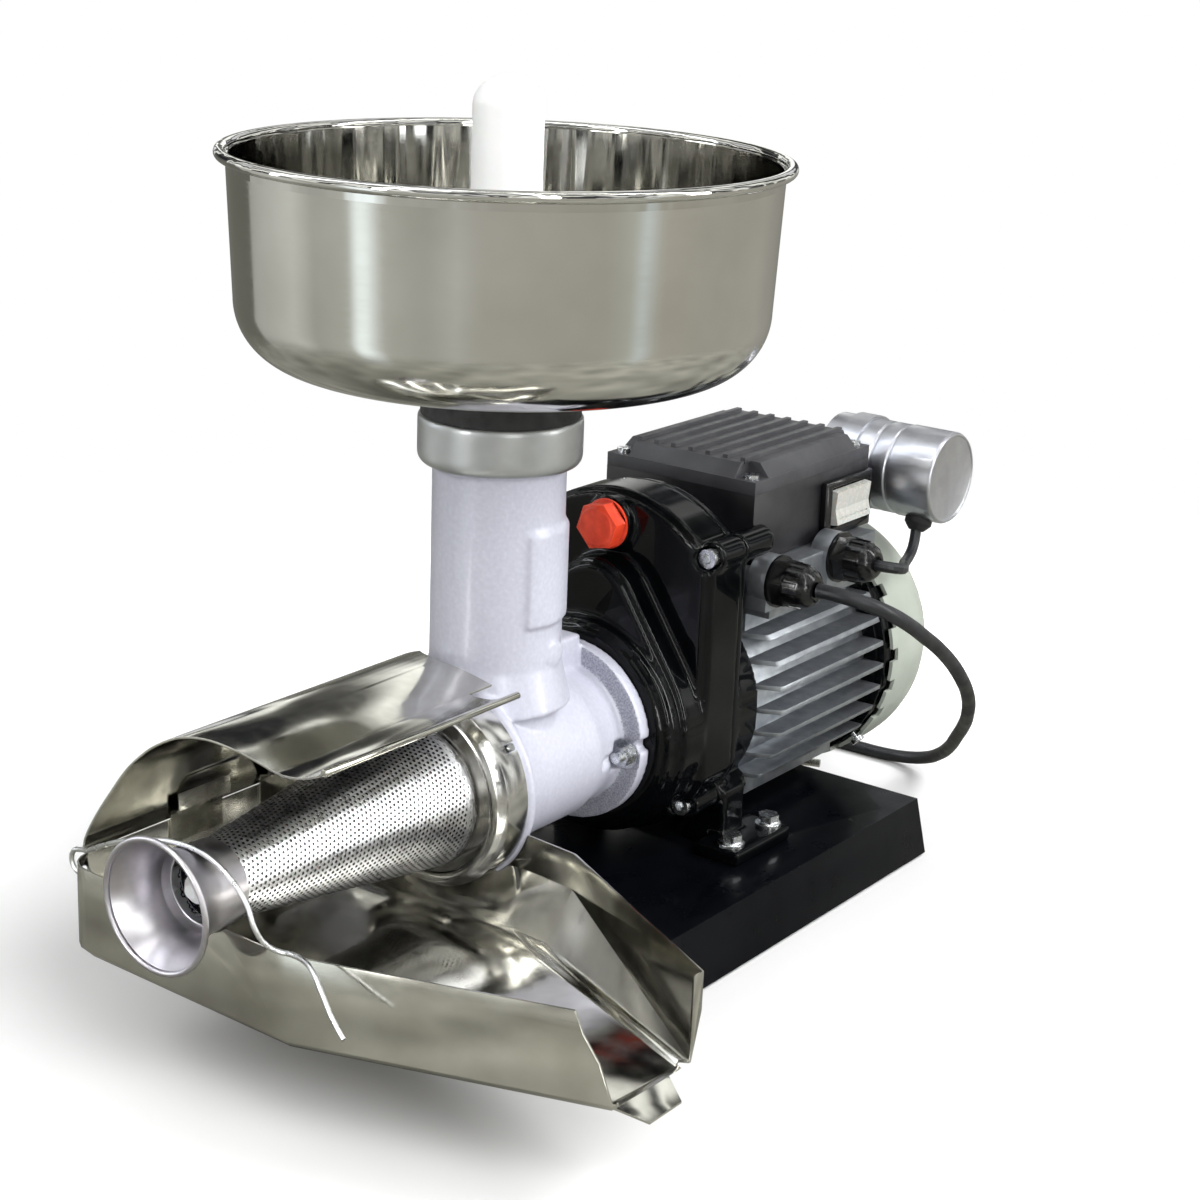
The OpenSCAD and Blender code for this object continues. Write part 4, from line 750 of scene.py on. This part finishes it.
bowl_bottom, rim_height, bowl_corner, sheet = 198.5, 295.2, 31.0, 1.2
low_r, wall_r, neck_r, rim_r, bead_r = 124.5, 127.5, 28.0, 129.95, 2.7
neck_length, wall_steps = 24, 12
wall_foot, wall_top = bowl_bottom + bowl_corner, rim_height - 1.0
wall = [
    (low_r + (wall_r - low_r) * k / wall_steps, wall_foot + (wall_top - wall_foot) * k / wall_steps)
    for k in range(1, wall_steps + 1)
]
outer = [(neck_r, bowl_bottom - neck_length), (neck_r + sheet, bowl_bottom - neck_length)]
outer += arc(2.0, neck_r + sheet + 2.0, bowl_bottom - 2.0, 180, 90, 5)
outer += arc(bowl_corner, low_r - bowl_corner, bowl_bottom + bowl_corner, -90, 0, 24) + wall
inner = [(r - sheet, h) for r, h in reversed(wall)]
inner += arc(bowl_corner - sheet, low_r - bowl_corner, bowl_bottom + bowl_corner, 0, -90, 24)
inner += [(neck_r + 2.4, bowl_bottom + sheet), (neck_r + 0.6, bowl_bottom + 0.4), (neck_r, bowl_bottom - 1.2)]
bowl = turned("hopper_spinning", upright_turn, outer + inner, arc(bead_r, rim_r, rim_height, 0, 345, 23), steps=224)
finished(bowl, polished, "hopper", "steel", "hopper_bowl")
bowl.data.materials.append(mirror)
# the mirror is on the rim and inside the wall
bowl_middle, bowl_floor = at(0, 0, rim_height - 4), at(0, 0, bowl_bottom)
for polygon in bowl.data.polygons:
    inside = polygon.normal.dot(bowl_middle - polygon.center) > 0 and polygon.center.z > bowl_floor.z
    on_rim = polygon.center.z > bowl_middle.z
    polygon.material_index = int(on_rim or (inside and 0 <= polygon.normal.z < 0.45))
dress(rubber, "rubber", "hopper_collar")


# ---- Pusher and feed screw.
# White food-grade mouldings, satin and a little scuffed. The pusher stands loose in the chimney; a square driver
# of ground steel turns the screw.
white_food, tree, coords = surface(
    "pusher_white_polyethylene", "#fafafa", 0.42, Subsurface_Weight=0.15, Subsurface_Scale=0.004
)
finish_with(
    tree,
    colour=tones(tree, noise(tree, coords, 18.0, 4.0), (0.35, "#f7f8f7"), (0.7, "#fdfdfd")),
    rough=spread(tree, noise(tree, coords, 6.0, 4.0), 0.34, 0.52),
    normal=rise(tree, noise(tree, coords, 0.6, 2.0), 0.02),
)
foot, top, stem_r, foot_r, dome = 33.8, 331.99, 16.5, 25.0, 14.0
foot_edge, foot_wall, shoulder, neck = 2, 30, 38, 46
tilts = [math.radians(6 * k) for k in range(1, 15)]
crown = [(stem_r * math.cos(a), top - dome + dome * math.sin(a)) for a in tilts]
stick = [(0.0, foot), (foot_r - foot_edge, foot), (foot_r, foot + foot_edge), (foot_r, foot + foot_wall)]
stick += [(foot_r - foot_edge, foot + foot_wall + 3), (stem_r + 1, foot + shoulder), (stem_r, foot + neck)]
stick += [(stem_r, top - dome)] + crown + [(0.0, top)]
finished(turned("pusher_moulding", upright_turn, stick, steps=96), white_food, "pusher", "white_plastic", "pusher")
dress(white_food, "white_plastic", "feed_screw")
dress(bright, "bright_steel", "screw_driver")


# ---- Perforated cone.
# Stainless sheet with 1.5 mm holes, 2.6 mm apart in staggered rows, bright outside, with shade painted dark on its
# inner face and in its holes.
# It is rolled up and closed with a lap seam, and has a plain hoop at each end.
cone_r1, cone_y1 = 35.5, -61.0
cone_r2, cone_y2 = 17.2, -195.0
sheet_t = 0.8
hole_pitch, hole_r = 2.6, 0.74
sin_half = (cone_r1 - cone_r2) / math.hypot(cone_r1 - cone_r2, cone_y1 - cone_y2)
cos_half = math.sqrt(1 - sin_half * sin_half)
flat_in, flat_out = cone_r2 / sin_half, cone_r1 / sin_half
half_turn = math.pi * sin_half
seam_at = math.radians(-75.0)
perforated, tree, coords = surface("filter_cone_bright_stainless", "#e0e0e5", 0.3, 1.0)
finish_with(
    tree,
    colour=tones(tree, noise(tree, coords, 10.0, 4.0), (0.35, "#d2d2d7"), (0.7, "#ececf0")),
    rough=spread(tree, noise(tree, coords, 5.0, 2.0), 0.26, 0.36),
    normal=rise(tree, noise(tree, coords, 30.0, 1.0), 0.12),
)

# one cell of the sheet: a hexagon with a round hole through it, both faces and the hole's wall
hexagon = [math.radians(30 + 60 * k) for k in range(6)]
octagon = [math.radians(22.5 + 45 * k) for k in range(8)]
corner_r = hole_pitch / math.sqrt(3)
outline = [(corner_r * math.cos(a), corner_r * math.sin(a)) for a in hexagon]
outline += [(hole_r * math.cos(a), hole_r * math.sin(a)) for a in octagon]
# the corners of the hole that each side of the hexagon faces, from one to the next
facing = [0, 1, 3, 4, 5, 7, 8]
faces = []
for k in range(6):
    edge = [6 + j % 8 for j in range(facing[k + 1], facing[k] - 1, -1)]
    faces.append([k, (k + 1) % 6] + edge)
faces += [[14 + q for q in reversed(face)] for face in faces]
faces += [[6 + k, 6 + (k + 1) % 8, 20 + (k + 1) % 8, 20 + k] for k in range(8)]
both_faces = [(x / 1000, y / 1000, z / 1000) for z in (0.0, -sheet_t) for x, y in outline]
cell = mesh_object("hole_cell", both_faces, faces)

# where the cells go on the flat blank, a sector of a ring
row_step = hole_pitch * math.sqrt(3) / 2
past_in, past_out, seam_gap = 1.0, 1.5, 1.4
places = []
for row in range(-60, 61):
    for column in range(40, 110):
        x, y = (column + (row % 2) / 2) * hole_pitch, row * row_step
        inside = flat_in - past_in < math.hypot(x, y) < flat_out + past_out
        if inside and abs(math.atan2(y, x)) < half_turn - seam_gap / math.hypot(x, y):
            places.append((x / 1000, y / 1000, 0.0))
blank = mesh_object("filter_cone_sheet", places, [])

# a tree that sets a cell on every point, welds the cells to one sheet and gives it its material
cells_on_points = bpy.data.node_groups.new("Cells on points", "GeometryNodeTree")
sockets = {}
for label, kind, way in (
    ("Points", "NodeSocketGeometry", "INPUT"),
    ("Cell", "NodeSocketObject", "INPUT"),
    ("Material", "NodeSocketMaterial", "INPUT"),
    ("Weld distance", "NodeSocketFloat", "INPUT"),
    ("Sheet", "NodeSocketGeometry", "OUTPUT"),
):
    sockets[label] = cells_on_points.interface.new_socket(label, in_out=way, socket_type=kind).identifier
given = add(cells_on_points, "NodeGroupInput")
one_cell = add(cells_on_points, "GeometryNodeObjectInfo", {"Object": given.outputs["Cell"]}).outputs["Geometry"]
copies = add(
    cells_on_points, "GeometryNodeInstanceOnPoints", {"Points": given.outputs["Points"], "Instance": one_cell}
).outputs[0]
real = add(cells_on_points, "GeometryNodeRealizeInstances", {"Geometry": copies}).outputs[0]
welded = add(
    cells_on_points, "GeometryNodeMergeByDistance", {"Geometry": real, "Distance": given.outputs["Weld distance"]}
).outputs[0]
faced = add(
    cells_on_points, "GeometryNodeSetMaterial", {"Geometry": welded, "Material": given.outputs["Material"]}
).outputs[0]
add(cells_on_points, "NodeGroupOutput", {"Sheet": faced})

press = blank.modifiers.new("cells", "NODES")
press.node_group = cells_on_points
press[sockets["Cell"]] = cell
press[sockets["Material"]] = perforated
press[sockets["Weld distance"]] = 0.00002
settled(blank)
bpy.data.objects.remove(cell)
# a dark metal on the inner face and the holes' walls: painted shade for the inside of the cone
inner_shade, tree, coords = surface("filter_cone_inner_face_painted_shade", "#3d3d40", 0.6, 0.9)
finish_with(tree, colour=tones(tree, noise(tree, coords, 6.0), (0.35, "#343437"), (0.7, "#47474a")))
blank.data.materials.clear()
blank.data.materials.append(perforated)
blank.data.materials.append(inner_shade)
# the bright face of the blank lies at height 0, and all that lies lower, the inner face and the holes' walls, is
# painted dark as shade
for polygon in blank.data.polygons:
    polygon.material_index = int(polygon.center.z < -0.0001)


def on_cone(s, turn, w):
    """A point of the cone, s along its side from the tip, turned from the blank's middle and w off its face."""
    turn += math.pi + seam_at
    r = s * sin_half + w * cos_half
    return at(r * math.cos(turn), cone_y2 + (s - flat_in) * cos_half - w * sin_half, r * math.sin(turn))


for vertex in blank.data.vertices:
    x, y, w = (part * 1000 for part in vertex.co)
    vertex.co = on_cone(math.hypot(x, y), math.atan2(y, x) / sin_half, w)

# lap seam and the plain hoops at both ends
strip = bmesh.new()
strip.from_mesh(blank.data)


def sweep(shape, ring_points):
    """A skin through equal rings of points, round each ring and on to the next; its two ends stay open."""
    rings = [[shape.verts.new(p) for p in ring] for ring in ring_points]
    n = len(rings[0])
    for a, b in zip(rings, rings[1:]):
        for k in range(n):
            shape.faces.new((a[k], a[(k + 1) % n], b[(k + 1) % n], b[k])).smooth = True
    return rings


seam_half, seam_steps = 1.7, 40
seam_profile = ((-seam_half, -sheet_t), (-seam_half, 0.12), (0.0, 0.3), (seam_half, 0.12), (seam_half, -sheet_t))
lap = []
for k in range(seam_steps + 1):
    s = flat_in - 1.0 + (flat_out + 1.0 - flat_in) * k / seam_steps
    lap.append([on_cone(s, math.pi + across / (s * sin_half), w) for across, w in seam_profile])
ends = sweep(strip, lap)
strip.faces.new(ends[0])
strip.faces.new(ends[-1][::-1])
for y0, y1, r0, r1 in (
    (cone_y1 - 1.2, cone_y1 + 8.0, cone_r1 - 0.1, cone_r1),
    (cone_y2 - 5.0, cone_y2 + 0.6, cone_r2, cone_r2),
):
    hoop = []
    for y, r in ((y0, r0 - sheet_t), (y0, r0), (y1, r1), (y1, r1 - sheet_t)):
        hoop.append([at(r * x, y, r * z) for x, z in circle])
    sweep(strip, [*hoop, hoop[0]])
bmesh.ops.remove_doubles(strip, verts=strip.verts, dist=1e-7)
bmesh.ops.recalc_face_normals(strip, faces=strip.faces)
strip.to_mesh(blank.data)
strip.free()
blank.data.polygons.foreach_set("use_smooth", [False] * len(blank.data.polygons))
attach(blank, "strainer_set")
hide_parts("filter_cone")


# ---- Outlet.
# Funnel spun from thin stainless sheet, satin, with a rolled lip; it is pushed over the narrow end of the
# perforated cone.
satin, tree, coords = surface("outlet_satin_stainless", "#bfbbc0", 0.3, 1.0)
finish_with(
    tree,
    colour=tones(tree, noise(tree, coords, 14.0, 4.0), (0.35, "#b3afb5"), (0.7, "#c9c7cc")),
    rough=spread(tree, noise(tree, coords, 5.0, 2.0), 0.3, 0.38),
    normal=rise(tree, noise(tree, coords, 12.0, 1.0), 0.05),
)


def lengthwise_turn(r, h, a):
    """Round the screw's axis."""
    return at(r * math.cos(a), h, r * math.sin(a))


mouth_end, throat, sleeve_end = -225.09, cone_y2 - 8.0, cone_y2 + 6.0
throat_r, lip_r, lip_bead, flare_steps = 19.6, 31.25, 1.4, 24
flare = []
for k in range(flare_steps + 1):
    s = k / flare_steps
    widening = (lip_r - 21.1) * s * s * (1.3 - 0.3 * s)
    flare.append((throat_r + widening, throat + (mouth_end - throat) * s))
trumpet = [(18.3, sleeve_end), (19.3, sleeve_end)] + [(r + 0.6, y) for r, y in flare]
trumpet += [(r - 0.4, y) for r, y in reversed(flare)]
trumpet += [(cone_r2 + 0.01, cone_y2 - 5.0), (cone_r2 + 0.01, cone_y2), (cone_r2 + 0.84, sleeve_end)]
lip = arc(lip_bead, lip_r - lip_bead, mouth_end, 0, 345, 23)
outlet = turned("outlet_spinning", lengthwise_turn, trumpet, lip, steps=144)
finished(outlet, satin, "strainer_set", "steel", "outlet_cone")


# ---- Seat ring and tray collar.
# Polished stainless rings. The turned one seats the cone in the mouth of the body; the pressed one carries the
# tray and locks on the pins round the mouth.
ring_steel, tree, coords = surface("seat_rings_polished_stainless", "#cbcac8", 0.16, 1.0)
finish_with(
    tree,
    colour=tones(tree, noise(tree, coords, 30.0, 2.0), (0.35, "#c2c1bf"), (0.7, "#d4d3d2")),
    rough=spread(tree, noise(tree, coords, 9.0, 3.0), 0.12, 0.22),
    normal=rise(tree, noise(tree, coords, 20.0, 1.0), 0.12),
)
dress(ring_steel, "steel", "filter_ring")
eased("tray_collar_pressing", "tray_collar", 0.25, ring_steel, "steel")


# ---- Drip tray and splash guard.
# Folded and polished stainless sheet whose slight waves bend its reflections; the guard turns in two bent hooks
# on the tray's left edge.
sheet_steel, tree, coords = surface("tray_polished_stainless", "#c4c3bc", 0.13, 1.0)
waves = rise(tree, noise(tree, coords, 55.0, 1.0), 0.75)
finish_with(
    tree,
    colour=tones(tree, noise(tree, coords, 30.0, 4.0), (0.35, "#bab8b0"), (0.7, "#cfcec8")),
    rough=spread(tree, noise(tree, coords, 12.0, 5.0), 0.07, 0.18),
    normal=rise(tree, noise(tree, coords, 0.9, 2.0, (0.1, 1, 1)), 0.002, waves),
)
eased("drip_tray_folding", "drip_tray", 0.3, sheet_steel, "steel")
eased("splash_guard_pressing", "splash_guard", 0.3, sheet_steel, "steel")
dress(sheet_steel, "steel", "guard_hooks")


# ---- Latch clip.
# One length of drawn steel wire, bent cold. It turns in the tray's left edge and holds the outlet and the tray
# together.
wire, tree, coords = surface("latch_clip_drawn_wire", "#d9dadc", 0.18, 1.0)
finish_with(tree, rough=spread(tree, noise(tree, coords, 6.0, 2.0), 0.24, 0.36))
bends = [
    (-85.8, -185, -21.6), (-88, -185, -24.1), (-91.4, -185, -25), (-95.6, -185, -23.3), (-97.4, -185, -19),
    (-95.6, -185, -14.8), (-91.4, -185.4, -13), (-84, -188, -10.6), (-70, -194, -3), (-52, -200.6, 6.4),
    (-36, -205, 13.6), (-21, -207, 18.6), (-8, -207, 21.4), (5, -207, 21.9), (16, -207, 19.8), (27, -207, 14),
    (35.4, -207, 5.6), (40, -207, -4), (42.6, -203.6, -11.4), (46, -200.9, -14.3), (54, -199.2, -14.5),
    (62, -200.4, -14.5), (68, -202.4, -15.6), (76, -205, -22.4), (84, -207.6, -30), (92, -209, -37),
]  # fmt: skip
wire_d = 2.4
clip = cable("latch_clip_wire", [at(*point) for point in bends], wire_d / 1000, wire)
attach(clip, nodes["latch_clip"]["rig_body"])
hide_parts("latch_clip")
